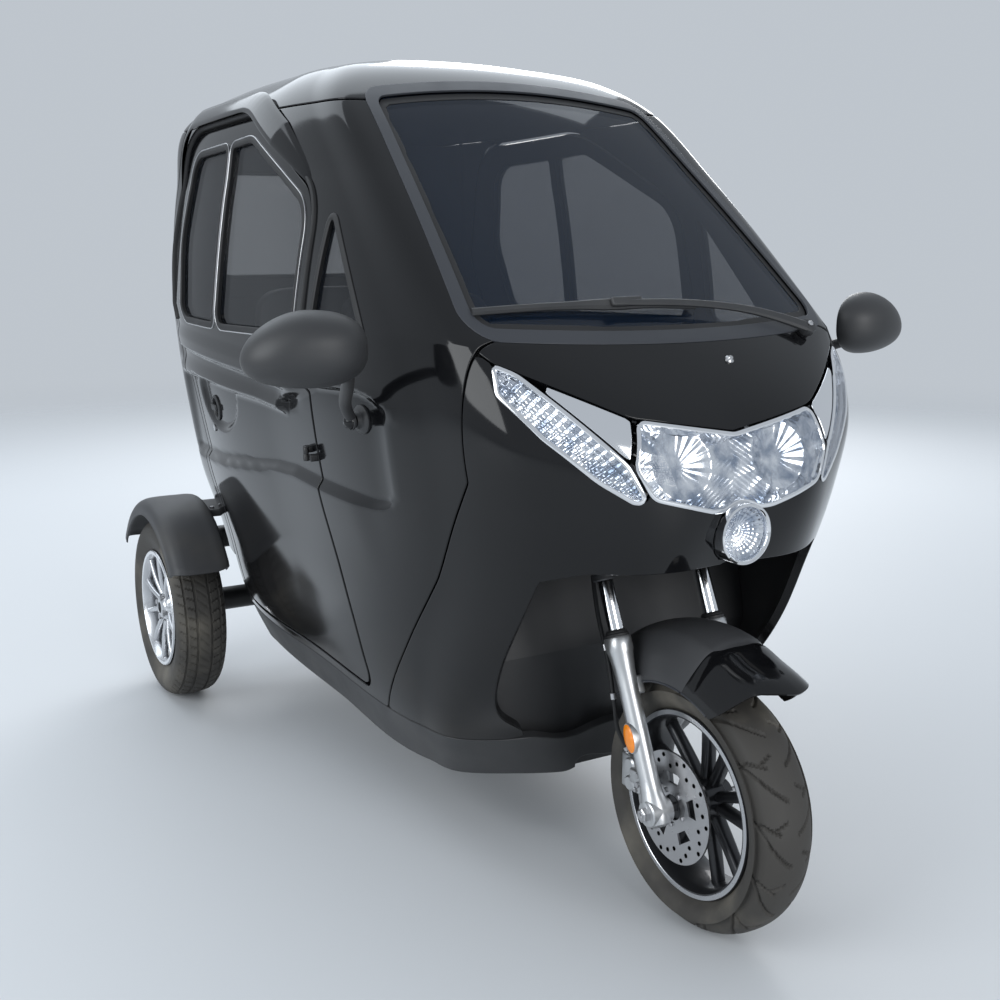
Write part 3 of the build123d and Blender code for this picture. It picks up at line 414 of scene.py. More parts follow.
# %% Level outlines
# Each level's outline: its z, the nose's y on x = 0, then (x, y) of nose, corner, side, waist, hip, rear and
# tail. The last three count y from the rear axle.
ROWS = [
    (200, 297, (180, 335), (285, 400), (322, 500), (332, 940), (325, -320), (310, -140), (270, -50)),
    (330, 270, (285, 285), (345, 330), (375, 430), (390, 940), (385, -300), (352, -100), (300, 40)),
    (500, 90, (270, 110), (350, 200), (398, 370), (430, 950), (415, -250), (380, -50), (320, 100)),
    (650, -15, (230, 20), (335, 115), (405, 300), (462, 950), (440, -205), (405, 17), (330, 147)),
    (800, -68, (230, -30), (350, 68), (430, 250), (483, 960), (455, -150), (415, 65), (320, 157)),
    (915, -50, (260, -15), (375, 66), (448, 250), (494, 980), (465, -115), (425, 77), (320, 162)),
    (1085, 90, (365, 145), (415, 180), (465, 330), (500, 1020), (474, -45), (430, 95), (330, 175)),
    (1376, 471, (345, 505), (402, 530), (430, 650), (458, 1100), (440, -65), (415, 75), (320, 130)),
    (1540, 683, (333, 724), (378, 745), (400, 850), (418, 1180), (405, -65), (388, 50), (310, 112)),
    (1600, 785, (270, 825), (315, 850), (338, 930), (347, 1170), (332, -180), (315, -90), (255, -45)),
    (1635, 915, (170, 950), (205, 975), (222, 1030), (229, 1180), (218, -325), (203, -268), (150, -240)),
    (1648, 1020, (70, 1030), (92, 1045), (102, 1075), (106, 1130), (102, -520), (92, -490), (70, -475)),
    (1649, 1080, (8, 1085), (11, 1090), (12, 1100), (12, 1140), (12, -545), (11, -535), (8, -530)),
]
BELT = 6  # the row at the belt line


def half_net():
    """Control points (row, point, xyz) of the left half, with a mirrored neighbour past each end."""
    net = []
    for z, nose_y, nose, corner, side, waist, hip, rear, tail in ROWS:
        line = [(0, nose_y), nose, corner, side, waist, *[(x, REAR + y) for x, y in (hip, rear, tail)]]
        line.append((0, line[-1][1] + 12))
        line = [(-line[1][0], line[1][1])] + line + [(-line[-2][0], line[-2][1])]
        net.append([(x, y, z) for x, y in line])
    return np.array(net, float)


NET = half_net()
print("control net", NET.shape)


# %% The skin as a grid
def spaced(*stops):
    """Sample values from (start, end, spacing) runs."""
    runs = [np.linspace(a, b, max(1, round((b - a) / gap)), endpoint=False) for a, b, gap in stops]
    return np.append(np.concatenate(runs), stops[-1][1])


UNDER_ROOF = 9  # rows below the roof, where a station's width is measured
CHORD = np.linalg.norm(np.diff(NET[:UNDER_ROOF], axis=1), axis=2).mean(0)
AROUND = np.concatenate([[0], np.cumsum(CHORD)]) - CHORD[0]
RISE = np.linalg.norm(np.diff(NET[:, 1:-1], axis=0), axis=2).mean(1)
UP = np.concatenate([[0], np.cumsum(RISE)])


def surface(up_at, around):
    """The left half of the skin at heights t and stations s."""
    low = up_at <= UP[BELT]
    net = np.concatenate([
        spline(UP[: BELT + 1], NET[: BELT + 1], up_at[low]), spline(UP[BELT:], NET[BELT:], up_at[~low]),
    ])
    return spline(AROUND, net.transpose(1, 0, 2), around).transpose(1, 0, 2)


def skin_grid(gap):
    """The whole skin as a grid (t, s, xyz): s runs from the tail round the right side, nose and left side.

    Rows lie closer over the relief below the belt. The last row is sewn up along the middle."""
    belt = UP[BELT]
    up_at = spaced((0, belt - 360, gap), (belt - 360, belt, gap * 0.42), (belt, UP[-1], gap))
    left = surface(up_at, spaced((0, AROUND[-2], gap)))
    right = left[:, -1:0:-1] * (-1, 1, 1)
    whole = np.concatenate([right, left[:, :-1]], 1)
    return np.concatenate([whole, whole[-1:] * (0, 1, 1) + (0, 0, 0.2)])


def grid_normals(grid, closed=True):
    """Unit normals, outward: dP/ds x dP/dt, where s may run round the body or not."""
    ds = np.roll(grid, -1, 1) - np.roll(grid, 1, 1) if closed else np.gradient(grid, axis=1)
    return unit(np.cross(ds, np.gradient(grid, axis=0)))


# %% Ledges, recess and handle bowl
def step(value, low, high):
    """Smoothstep from 0 at low to 1 at high."""
    part = np.clip((value - low) / (high - low), 0, 1)
    return part * part * (3 - 2 * part)


def side_relief(p):
    """Belt ledges, the recess under them, its lower crease and the handle bowl, as outward millimetres."""
    y, z = p[..., 1], p[..., 2]
    # Heights of the upper ledge, the lower ledge, the crease and the top of the recess.
    ledge = 1004 + (y - 900) * 0.034
    second = 930 + (y - 1100) * 0.03
    crease = np.interp(y, *np.transpose([(330, 775), (430, 762), (530, 764), (680, 767), (800, 770), (916, 762),
                                         (1119, 736), (1309, 712), (1600, 690)]))
    top = np.interp(y, [330, 350, 400, 455, 640, 760, 900], [930, 955, 975, 983, 975, 940, 905])
    top = np.where(y > 820, np.minimum(top, second - 22), top)
    fade = step(y, 300, 420) * (1 - step(y, 1640, 1700))  # nothing stands out past the door's ends
    out = 9 * (1 - step(z, ledge - 24, ledge + 8)) * step(z, top - 4, top + 10)
    out *= 1 - 0.75 * (1 - step(np.abs(y - 682), 8, 120))  # lower at the hinge, clear of the frame
    rear = step(y, 720, 860)
    out -= 9 * rear * (1 - step(z, second + 26, second + 36)) * step(z, second - 24, second + 14) * 1.2
    inner = step(y, 336, 374) * (1 - step(z, top - 12, top + 6)) * step(z, crease - 8, crease + 16)
    corner = np.hypot(np.minimum(y - 402, 0), np.minimum(z - crease - 58, 0))
    inner *= 1 - step(corner, 52, 64)
    out -= 11 * inner
    out += 4 * (1 - step(z, crease - 10, crease + 14)) * step(z, crease - 170, crease - 10) * step(y, 420, 520)
    bowl = np.hypot((y - 1345) / 1.85, np.minimum(z - 880, 0))
    out -= 13 * (1 - step(bowl, 78, 96)) * (1 - step(z, second - 30, second - 22))
    return out * fade * (np.abs(p[..., 0]) > 250)


# %% The finished skin
SKIN = skin_grid(12.0)
SKIN_N = grid_normals(SKIN)
SKIN = SKIN + SKIN_N * side_relief(SKIN)[..., None]
SKIN_N = grid_normals(SKIN)
print("skin grid", SKIN.shape)

# %% [markdown]
# ## Panel regions
# Doors, windows, hood and lamps are areas of that one skin. A Boolean modifier for each would leave
# ragged edges on the curved mesh. Here an area is where a signed distance is below 0. Side-view and
# front-view outlines with rounded corners give it, and distances combine: the greater of two is what both
# share, the lesser is either.


# %% Rounded outlines and their distance
def rounded(points):
    """A closed outline; a third number is that corner's fillet radius."""
    flat = np.array([p[:2] for p in points], float)
    radii = [p[2] if len(p) > 2 else 0 for p in points]
    out = []
    for k, (corner, radius) in enumerate(zip(flat, radii)):
        if not radius:
            out.append(corner[None])
            continue
        one, two = flat[k - 1] - corner, flat[(k + 1) % len(flat)] - corner
        one, two = one / np.linalg.norm(one), two / np.linalg.norm(two)
        half = math.acos(max(-1, min(1, float(one @ two)))) / 2
        back = radius / math.tan(half)
        centre = corner + (one + two) / np.linalg.norm(one + two) * radius / math.sin(half)
        start, stop = corner + one * back - centre, corner + two * back - centre
        turn = math.atan2(start[0] * stop[1] - start[1] * stop[0], float(start @ stop))
        steps = np.linspace(0, turn, 2 + int(abs(turn) * 9))
        cos, sin = np.cos(steps), np.sin(steps)
        out.append(centre + np.stack([start[0] * cos - start[1] * sin, start[0] * sin + start[1] * cos], -1))
    return np.concatenate(out)


def distance(outline, points):
    """Signed distance to a closed outline, negative inside; past the margin only the box's distance."""
    margin, batch = 60, 8000
    a = outline[None]
    b = np.roll(outline, -1, 0)[None]
    every = points.reshape(-1, 2)
    over = np.maximum(outline.min(0) - margin - every, every - outline.max(0) - margin).max(1)
    close = np.flatnonzero(over < 0)
    flat = every[close]
    near = np.empty(len(flat))
    inside = np.empty(len(flat), bool)
    for low in range(0, len(flat), batch):
        now = slice(low, low + batch)
        p = flat[now, None]
        run = b - a
        part = np.clip(((p - a) * run).sum(2) / np.maximum((run * run).sum(2), 1e-9), 0, 1)
        gap = p - a - part[..., None] * run
        near[now] = np.sqrt((gap * gap).sum(2).min(1))
        cross = (a[..., 1] > p[..., 1]) != (b[..., 1] > p[..., 1])
        rise = np.where(run[..., 1] == 0, 1e-9, run[..., 1])
        at = a[..., 0] + (p[..., 1] - a[..., 1]) * run[..., 0] / rise
        inside[now] = (cross & (p[..., 0] < at)).sum(1) % 2 == 1
    found = over + margin
    found[close] = np.where(inside, -near, near)
    return found.reshape(points.shape[:-1])


def remembered(f):
    """f keeps its values on the big grids, which never change."""
    kept = {}

    def g(p):
        if p.ndim < 3:
            return f(p)
        if id(p) not in kept:
            kept[id(p)] = (p, f(p))
        return kept[id(p)][1]

    return g


# %% Regions that combine
class Region:
    """Where f(P) < 0; a & b is both, a | b is either, ~a is outside, a.grow(d) is wider by d."""

    def __init__(self, f):
        self.f = f

    def __call__(self, p):
        return self.f(p)

    def __and__(self, other):
        return Region(lambda p: np.maximum(self.f(p), other.f(p)))

    def __or__(self, other):
        return Region(lambda p: np.minimum(self.f(p), other.f(p)))

    def __invert__(self):
        return Region(lambda p: -self.f(p))

    def grow(self, by):
        return Region(lambda p: self.f(p) - by)


def side(points):
    """A side-view outline (y, z), cut through the whole body."""
    outline = rounded(points)
    return Region(remembered(lambda p: distance(outline, p[..., 1:])))


def front_view(p):
    """(|x|, z), in which both halves look the same."""
    return np.stack([np.abs(p[..., 0]), p[..., 2]], -1)


def front(points):
    """A front-view outline of the left half, closed across the middle where it starts on x = 0."""
    outline = rounded(points)
    if points[0][0] == 0:
        outline = np.concatenate([outline, outline[::-1] * (-1, 1)])
    return Region(remembered(lambda p: distance(outline, front_view(p)))) & FRONT


def before(y):
    """What lies ahead of y."""
    return Region(lambda p: p[..., 1] - y)


def above(z):
    """What lies higher than z."""
    return Region(lambda p: z - p[..., 2])


FRONT = before(900)  # where front-view outlines count


# %% Doors, panes, nose and tail
FORE, AFT, UNDER = -400, REAR + 400, -50  # past the body's ends, and below it
ROOF_Z, PANE_LOW, PANE_TOP = 1526, 1052, 1462
DIVIDER = (1222, 1250)  # y of the bar between a door's two panes
DOOR = side([
    (606, 335, 40), (REAR - 300, 335, 60), (REAR - 195, 690, 300), (REAR + 5, 1190, 150),
    (REAR - 110, 1505, 130), (1100, 1518, 260), (700, 1335, 120), (690, 1080, 300), (650, 640, 300),
])
FRONT_PANE = side([
    (728, 1066, 25), (DIVIDER[0], PANE_LOW, 25), (DIVIDER[0], PANE_TOP, 15), (1090, 1470, 120), (728, 1318, 90),
])
REAR_PANE = side([
    (DIVIDER[1], PANE_LOW, 20), (REAR - 165, PANE_LOW, 60), (REAR - 110, 1240, 120), (REAR - 175, 1452, 90),
    (DIVIDER[1], PANE_TOP, 15),
])
QUARTER = side([(628, 1318, 12), (640, 1066, 25), (372, 1030, 25)])
UNDERCUT = side([(FORE, UNDER), (FORE, 700), (20, 700), (78, 680), (279, 309), (297, 199), (297, UNDER)])
TAIL_UNDER = side([
    (REAR - 265, UNDER), (REAR - 265, 330), (REAR - 215, 425), (AFT, 425), (AFT, UNDER),
])
NOSE = side([
    (FORE, UNDER), (FORE, 1106), (150, 1106), (152, 1060), (158, 850), (290, 650), (565, 300), (600, UNDER),
])
TAIL = side([
    (REAR - 255, UNDER), (REAR - 250, 330), (REAR - 150, 690), (REAR + 50, 1190), (REAR - 15, ROOF_Z),
    (AFT, ROOF_Z), (AFT, UNDER),
])
print("skin points in the doors", int((DOOR(SKIN) < 0).sum()))

# %% Windscreen, hood and lamps
across = np.linspace(0, 1, 13)[1:-1]
LOW_X, LOW_Z, HIGH_X, HIGH_Z = 382, 1096, 322, 1560  # half widths, and heights in the middle
SCREEN = front([
    (0, LOW_Z), *[(LOW_X * a, LOW_Z + 12 * a * a) for a in across], (LOW_X, LOW_Z + 12, 30),
    (HIGH_X, HIGH_Z - 26, 30), *[(HIGH_X * a, HIGH_Z - 26 * a * a) for a in across[::-1]], (0, HIGH_Z),
])
HOOD = front([(0, 936), (190, 966), (205, 971), (381, 1056), (396, 1072), (396, 1200), (0, 1200)])
LENS = front([(0, 930), (188, 962), (206, 890), (180, 838), (62, 806), (0, 806)])
PLATE = front([(198, 966), (340, 1033), (267.6, 954), (216, 899), (213, 904)])
STRIP = front([
    (352, 1037), (380, 1051), (386, 1006), (336, 938), (262, 868), (206, 830), (192, 836), (219, 893),
    (272, 950),
])
ROUND_Z, ROUND_R = 763, 54
ROUND = Region(lambda p: np.hypot(p[..., 0], p[..., 2] - ROUND_Z) - ROUND_R) & FRONT
LAMPS = LENS | PLATE | STRIP | ROUND
print("skin points in the lamps", int((LAMPS(SKIN) < 0).sum()))

# %% Rear window, roof and skirt
rear_pane = rounded([(-292, 1140, 45), (292, 1140, 45), (270, 1430, 45), (-270, 1430, 45)])
REAR_WINDOW = Region(remembered(lambda p: distance(rear_pane, p[..., ::2]))) & ~before(REAR - 100)
ROOF = above(ROOF_Z)
SKIRT = ~above(305)
LEFT = Region(lambda p: -p[..., 0])
print("skin points in the rear window", int((REAR_WINDOW(SKIN) < 0).sum()))

# %% [markdown]
# ## Cutting panels out of the skin
# The real panels are thin mouldings with turned edges and narrow gaps between them. Solidify could
# thicken a cut sheet, but its edge would follow the grid's steps. Here the grid cells that a region's
# edge crosses are clipped along it. The edge then rolls over a small radius and runs inward to a second,
# inner face, so each panel is a closed sheet with soft highlights along its rim.


# %% Clipping the skin along an edge
def clip(grid, normals, keep):
    """Part of the grid where keep < 0: (vertices, normals, faces, rim edges)."""
    rows, cols = grid.shape[:2]
    value = keep(grid).ravel()
    points, normal = grid.reshape(-1, 3), normals.reshape(-1, 3)
    cells = quads(rows, cols, False, True)
    inside = value[cells] < 0
    whole = cells[inside.all(1)]
    mixed = cells[inside.any(1) & ~inside.all(1)]
    extra_p, extra_n, made, faces, rim = [], [], {}, [], []

    def cut(a, b):
        key = (min(a, b), max(a, b))
        if key not in made:
            low, high = key
            part = value[low] / (value[low] - value[high])
            made[key] = len(points) + len(extra_p)
            extra_p.append(points[low] + (points[high] - points[low]) * part)
            extra_n.append(normal[low] + (normal[high] - normal[low]) * part)
        return made[key]

    for cell in mixed.tolist():
        face, ends = [], []
        for a, b in zip(cell, cell[1:] + cell[:1]):
            if value[a] < 0:
                face.append(a)
            if (value[a] < 0) != (value[b] < 0):
                point = cut(a, b)
                face.append(point)
                ends.append((point, value[a] < 0))
        faces.append(face)
        for (one, out), (two, _) in zip(ends, ends[1:] + ends[:1]):
            if out:
                rim.append((one, two))
    faces = whole.tolist() + [f for f in faces if len(f) > 2]
    if extra_p:
        points = np.concatenate([points, extra_p])
        normal = np.concatenate([normal, extra_n])
    used = np.unique(np.concatenate([np.concatenate(faces), np.array(rim, int).ravel()]).astype(int))
    order = np.full(len(points), -1)
    order[used] = np.arange(len(used))
    return points[used], unit(normal[used]), [order[f].tolist() for f in faces], order[np.array(rim, int)]


def outward(keep, points, normal):
    """Unit direction in the surface in which keep grows fastest."""
    reach = 2.0
    slope = np.stack([keep(points + reach * d) - keep(points - reach * d) for d in np.eye(3)], -1)
    return unit(slope - (slope * normal).sum(1)[:, None] * normal)


def border_of(keep, points, normal, rim):
    """The clipped edge: its points, normals and outward directions, and the rim as pairs of their numbers."""
    border = np.unique(rim)
    place = np.full(len(points), -1)
    place[border] = np.arange(len(border))
    return points[border], normal[border], outward(keep, points[border], normal[border]), place[rim].tolist()


# %% A panel with a rolled edge
def panel(keep, gap=1.0, edge=2.5, thick=18.0, depth=0.0, inner_slot=1):
    """A closed sheet over the region, its rim rolled over a radius r = edge: p + out r sin a - n r (1 - cos a).

    gap is how far its edge stays inside the region's, depth how far it lies under the skin, thick its thickness,
    and inner_slot the material of its inner face."""
    made = Shape()
    points, normal, faces, rim = clip(SKIN, SKIN_N, keep.grow(-(gap + edge)))
    points = points - normal * depth
    made.add(points, faces, 0, normal)
    base, up, out, chain = border_of(keep, points, normal, rim)
    rings, ring_n = [base], [up]
    for a in np.radians((30, 60, 90)):
        rings.append(base + out * edge * math.sin(a) - up * edge * (1 - math.cos(a)))
        ring_n.append(up * math.cos(a) + out * math.sin(a))
    rings.append(base + out * edge - up * thick)
    ring_n.append(out)
    size = len(base)
    strips = [[b + k, a + k, a + k + size, b + k + size] for k in range(0, 4 * size, size) for a, b in chain]
    made.add(np.concatenate(rings), strips, 0, np.concatenate(ring_n))
    made.add(points - normal * thick, [list(reversed(f)) for f in faces], inner_slot, -normal)
    lip = np.concatenate([rings[-1], base - up * thick])
    made.add(lip, [[b, a, a + size, b + size] for a, b in chain], inner_slot, np.concatenate([-up, -up]))
    return made


# %% Body panels, doors and panes
PANELS = (
    ("nose_skin", "nose_fairing", black, NOSE & ~ROOF & ~SKIRT & ~LAMPS & ~SCREEN & ~UNDERCUT & ~HOOD),
    ("hood_skin", "hood", black, NOSE & HOOD & ~LAMPS & ~SCREEN & ~ROOF),
    ("roof_skin", "roof", black, ROOF & ~SCREEN),
    ("tail_skin", "tail_body", black, TAIL & ~ROOF & ~REAR_WINDOW & ~TAIL_UNDER & ~SKIRT),
    ("skirt_skin", "skirt", trim, SKIRT & ~UNDERCUT & ~TAIL_UNDER & above(200.5)),
)
for name, node, paint, region in PANELS:
    panel(region).make(name, [paint, liner_mat], "root", [node])
FRAME = ~NOSE & ~TAIL & ~ROOF & ~SKIRT & ~DOOR.grow(6) & ~SCREEN & ~LAMPS & ~QUARTER & ~UNDERCUT & LEFT
DOOR_PANES = (FRONT_PANE | REAR_PANE) & LEFT
DOORS = ("left_door", "right_door")
PANE = (0.3, 0.6, 5.0, 7.0, 0)  # gap, edge, thick, depth and inner slot of a pane
pair(panel(FRAME), "frame_skin", [black, liner_mat], stem="side_frame")
pair(panel(DOOR & ~FRONT_PANE & ~REAR_PANE & LEFT, 0.0), "door_skin", [black, liner_mat], DOORS, "door")
panel(SCREEN, *PANE).make("screen_pane", [screen], "root", ["windscreen"])
pair(panel(DOOR_PANES, *PANE), "door_pane", [glass], DOORS, "door_glass")
panel(QUARTER & LEFT, *PANE).both().make("quarter_panes", [glass], "root", ["quarter_glass"])
panel(REAR_WINDOW, *PANE).make("rear_pane", [glass], "root", ["rear_window"])
tally("panels")

# %% Door cards with their pulls
CARD_TOP = 1022  # the lining ends below the panes
door_card = panel(DOOR.grow(-34) & ~above(CARD_TOP) & LEFT, 0.0, 3.0, 4.5, 18.2, 0)
pull = [
    (452, 1225, 930), (438, 1232, 932), (432, 1262, 936), (432, 1330, 944), (438, 1358, 948), (452, 1366, 948),
]
door_card.add(*swept(curve(pull, 30), circle(8, 16), (1, 0, 0)), 1)
pair(door_card, "door_card", [seat_mat, trim], DOORS)
tally("door cards")

# %% [markdown]
# ## Seals and strips
# Rubber holds the panes, a grey strip frames the windscreen, and a lip over each door keeps the rain off.
# A bevelled curve would make a round bead, but it wouldn't lean with the skin. Here wide strips are
# panels over ring-shaped regions, and thin ones are profiles swept along a region's edge loop:
# V = P + o O + n N, with O pointing away from the region in the skin and N off the skin.


# %% Rings and edge loops
def ring(region, outer, inner):
    """The strip between two offsets of a region's edge."""
    return region.grow(outer) & ~region.grow(inner)


def edge_loops(keep):
    """A region's edge on the skin as smooth loops at 5 mm steps: (points, normals, outward directions)."""
    points, normal, _, rim = clip(SKIN, SKIN_N, keep)
    ahead = dict(rim.tolist())
    loops = []
    while ahead:
        start, now = next(iter(ahead.items()))
        order = [start]
        del ahead[start]
        while now != start and now in ahead:
            order.append(now)
            now = ahead.pop(now)
        if len(order) < 12:
            continue
        at = run_along(points[order + [start]])
        even = np.linspace(0, at[-1], max(12, int(at[-1] / 5)), endpoint=False)
        loop = [np.stack([np.interp(even, at, np.append(v[:, k], v[0, k])) for k in range(3)], -1)
                for v in (points[order], normal[order])]
        for _ in range(2):
            loop = [(np.roll(v, 1, 0) + 2 * v + np.roll(v, -1, 0)) / 4 for v in loop]
        up = unit(loop[1])
        loops.append((loop[0], up, outward(keep, loop[0], up)))
    return loops


# %% A bead along a loop
def bead(loop, profile, where=None, taper=None):
    """A closed profile of (o, n) along a loop, or along the stretch of it where a test holds.

    Over taper points at each end of a stretch it narrows to a point at o = 9."""
    points, up, out = loop
    closed = where is None
    if not closed:
        flags = where(points)
        start = int(np.flatnonzero(flags & ~np.roll(flags, 1))[0])
        order = (start + np.arange(len(points))) % len(points)
        stop = int(np.flatnonzero(~flags[order])[0])
        points, up, out = (v[order[:stop]] for v in (points, up, out))
    profile = np.asarray(profile, float)
    full, tip = np.ones((len(points), 1, 1)), 9
    if taper:
        near_end = np.minimum(np.arange(len(points)), np.arange(len(points))[::-1]) / taper
        full = (np.clip(near_end, 0.02, 1) ** 0.6)[:, None, None]
    verts = (
        points[:, None] + (tip + (profile[None, :, :1] - tip) * full) * out[:, None]
        + profile[None, :, 1:] * up[:, None] * full
    )
    made = Shape().add(verts, quads(len(points), len(profile), closed, True))
    if not closed:
        size, last = len(profile), (len(points) - 1) * len(profile)
        made.faces += [list(range(size))[::-1], [last + k for k in range(size)]]
        made.slots += [0, 0]
    return made


def beads(loops, profile):
    """The same profile along each of the loops."""
    return joined(*[bead(loop, profile) for loop in loops])


# %% Seals, strips and rain visors
SEAL = [(-6, -7), (-7, 1.0), (-5.5, 2.6), (-2, 3.4), (4, 3.2), (7, 1.8), (7.6, -1), (7.6, -7)]
panel(ring(SCREEN, 19, -3), 0.0, 1.2, 4.0, -1.6, 0).make("screen_strip", [grey_strip])
panel(ring(SCREEN, -3, -16), 0.0, 0.8, 2.0, 5.5, 0).make("screen_band", [rubber])
pane_loops = edge_loops(DOOR_PANES)
pair(beads(pane_loops, SEAL), "pane_seal", [rubber], DOORS)
pair(beads(pane_loops, [(7.4, 0), (7.6, 2.2), (8.6, 3.0), (9.8, 2.4), (10.2, 0)]), "pane_edge", [steel], DOORS)
pair(beads(edge_loops(QUARTER & LEFT), SEAL), "quarter_seal", [rubber])
beads(edge_loops(REAR_WINDOW), SEAL).make("rear_seal", [rubber])
door_loop = max(edge_loops(DOOR & LEFT), key=lambda loop: len(loop[0]))
ARCH_LOW, VISOR_LOW = 1048, 1348  # heights from which the arch seal and the visor run over the door
ARCH = [(7, -12), (7, 2), (9, 5), (13, 6.4), (17, 5), (19, 1.5), (19, -3)]
pair(bead(door_loop, ARCH, lambda p: p[:, 2] > ARCH_LOW), "door_arch_seal", [rubber])
VISOR = [
    (64, -1), (60, 6), (48, 13), (34, 18.5), (20, 22), (9, 23.5), (6, 22), (9, 19.5), (20, 17.5), (34, 13.5),
    (48, 8), (58, -1),
]
visor = bead(door_loop, VISOR, lambda p: p[:, 2] > VISOR_LOW, taper=40)
visor.make("rain_visor_left", [black], "root", ["rain_visors"])
visor.mirrored().make("rain_visor_right", [black])
tally("seals and strips")

# %% [markdown]
# ## Lamps
# A clear lens spans two fluted bowls, strips of prism cells run beside it, and a round lamp sits below. A
# bump in a material would look flat from the side. Here the reflectors are a fine patch of the skin,
# pushed inward by a formula: bowls, flutes and prism cells in chrome. Clear covers lie flush over them,
# and a chrome wall joins the two along each lamp's edge.


# %% A lathe, and a fine grid of the nose
def lathe(profile, axis, at, steps):
    """Surface of revolution of (r, h) about axis through at: P = at + h a + r (cos u e1 + sin u e2).

    Where it closes on its axis, r ends at 0.1, too small to see."""
    axis = unit(np.asarray(axis, float))
    one = unit(np.cross(axis, (0, 0, 1) if abs(axis[2]) < 0.9 else (1, 0, 0)))
    two = np.cross(axis, one)
    angle = full_turn(steps)[:, None, None]
    r, h = np.asarray(profile, float).T[..., None]
    verts = np.asarray(at, float) + h * axis + r * (np.cos(angle) * one + np.sin(angle) * two)
    return verts, quads(steps, len(profile), True, False)


def lamp_grid(gap):
    """Both halves of the nose at a fine spacing, and its normals."""
    left = surface(spaced((UP[3], UP[BELT] + 12, gap)), spaced((0, 540, gap)))
    whole = np.concatenate([left[:, :0:-1] * (-1, 1, 1), left], 1)
    return whole, grid_normals(whole, False)


LAMP, LAMP_N = lamp_grid(2.6)


# %% A lamp's sunk face and its wall
def open_clip(keep, grid, normals):
    """Like panel's clip, for a grid that isn't closed round."""
    far = np.full(grid.shape[:2], -1e9)
    far[:, 0] = far[:, -1] = 1e3
    outside = Region(lambda p: keep(p) if p.shape[:2] != grid.shape[:2] else np.maximum(keep(p), far))
    return clip(grid, normals, outside)


def sunk(keep, depth):
    """The patch of the lamp grid inside keep, pushed in by depth(P), with the normals of the pushed surface."""
    pushed = LAMP - LAMP_N * depth(LAMP)[..., None]
    region = Region(lambda p: keep(LAMP) if p.shape == LAMP.shape else keep(p))
    points, normal, faces, _ = open_clip(region, pushed, grid_normals(pushed, False))
    return Shape().add(points, faces, 0, normal)


def lamp_wall(keep, low, high):
    """The chrome wall between two depths along keep's edge."""
    points, normal, _, rim = open_clip(keep, LAMP, LAMP_N)
    base, up, out, chain = border_of(keep, points, normal, rim)
    size = len(base)
    verts = np.concatenate([base - up * low, base - up * high])
    return Shape().add(verts, [[a, b, b + size, a + size] for a, b in chain], 0, np.concatenate([-out, -out]))


# %% Bowls and prism cells
BOWL_X, BOWL_Z, BOWL_R = 108, 893, 64


def centre_depth(p):
    """Two fluted bowls with a ribbed valley between them."""
    x, z = np.abs(p[..., 0]), p[..., 2]
    spread = np.hypot(x - BOWL_X, z - BOWL_Z)
    angle = np.arctan2(z - BOWL_Z, x - BOWL_X)
    bowl = np.clip(1 - (spread / BOWL_R) ** 2, 0, 1)
    flutes = 1.6 * np.abs(np.sin(angle * 9)) * np.clip(spread / BOWL_R, 0, 1)
    ribs = 2.4 * np.abs(((z + 0.8 * x) / 11) % 1 - 0.5) * step(BOWL_R - spread, 2, -8)
    return 20 + 22 * bowl + flutes + ribs


def strip_depth(p):
    """Prism cells in two rows along the lamp strip."""
    x, z = np.abs(p[..., 0]), p[..., 2]
    along = (x * 0.64 + z * 0.77) / 15.0
    across = (z * 0.64 - x * 0.77) / 17.0
    return 16 + 9 * np.abs(along % 1 - 0.5) + 6 * np.abs(across % 1 - 0.5)


# %% Reflectors, covers and bezels
lens_open = LENS & ~ROUND.grow(1)
sunk(lens_open.grow(-1.2), centre_depth).make("centre_reflector", [reflector])
sunk(STRIP.grow(-1.2), strip_depth).make("strip_reflector", [reflector])
for name, region in (("centre_wall", lens_open), ("strip_wall", STRIP)):
    lamp_wall(region.grow(-1.2), 3.5, 24).make(name, [chrome])
COVER = (0.6, 1.2, 3.0, 0.2, 0)  # the same five for a lamp's cover
panel(lens_open, *COVER).make("centre_cover", [clear], "root", ["headlamp_lens"])
panel(STRIP, *COVER).make("strip_cover", [clear], "root", ["lamp_strips"])
panel(PLATE, 0.8, 2.2, 12.0, -1.0, 0).make("plate_skin", [chrome], "root", ["lamp_plates"])
panel(ring(LENS, 0.4, -4.5) & ~ROUND.grow(2), 0.0, 0.6, 3.0, -0.9, 0).make("lens_rim", [chrome], "root")
BEZEL = [(-3.5, -5), (-4, 1.2), (-2.5, 2.6), (1.5, 2.8), (3.5, 1.6), (4, -5)]
beads(edge_loops(lens_open) + edge_loops(STRIP), BEZEL).make("lamp_bezels", [chrome])
tally("reflectors and covers")

# %% Bulbs and the round lamp
BULB = [(0.1, 20), (5, 19), (7, 14), (7, 0), (9, -2), (9, -14)]
for hand, x in (("left", BOWL_X), ("right", -BOWL_X)):
    Shape().add(*lathe(BULB, (0, -1, 0.12), (x, 36, BOWL_Z), 24)).make(f"bulb_{hand}", [chrome])
ROUND_AT, AHEAD = (0, -78, ROUND_Z), (0, -1, 0)
ROUND_BEZEL = [(46, -8), (46, 4), (47.5, 8), (50.5, 10), (53.5, 8), (54.2, 3), (54.2, -50), (30, -58)]
Shape().add(*lathe(ROUND_BEZEL, AHEAD, ROUND_AT, 96)).make("round_bezel", [chrome], "root", ["round_lamp"])
angle = full_turn(240)[:, None]
radius = np.linspace(0.5, 46.5, 30)[None]
dish = 20 * (1 - (radius / 46.5) ** 2) + 1.5 * np.abs(np.sin(angle * 12)) * radius / 46 + 1.2 * (radius / 7 % 1)
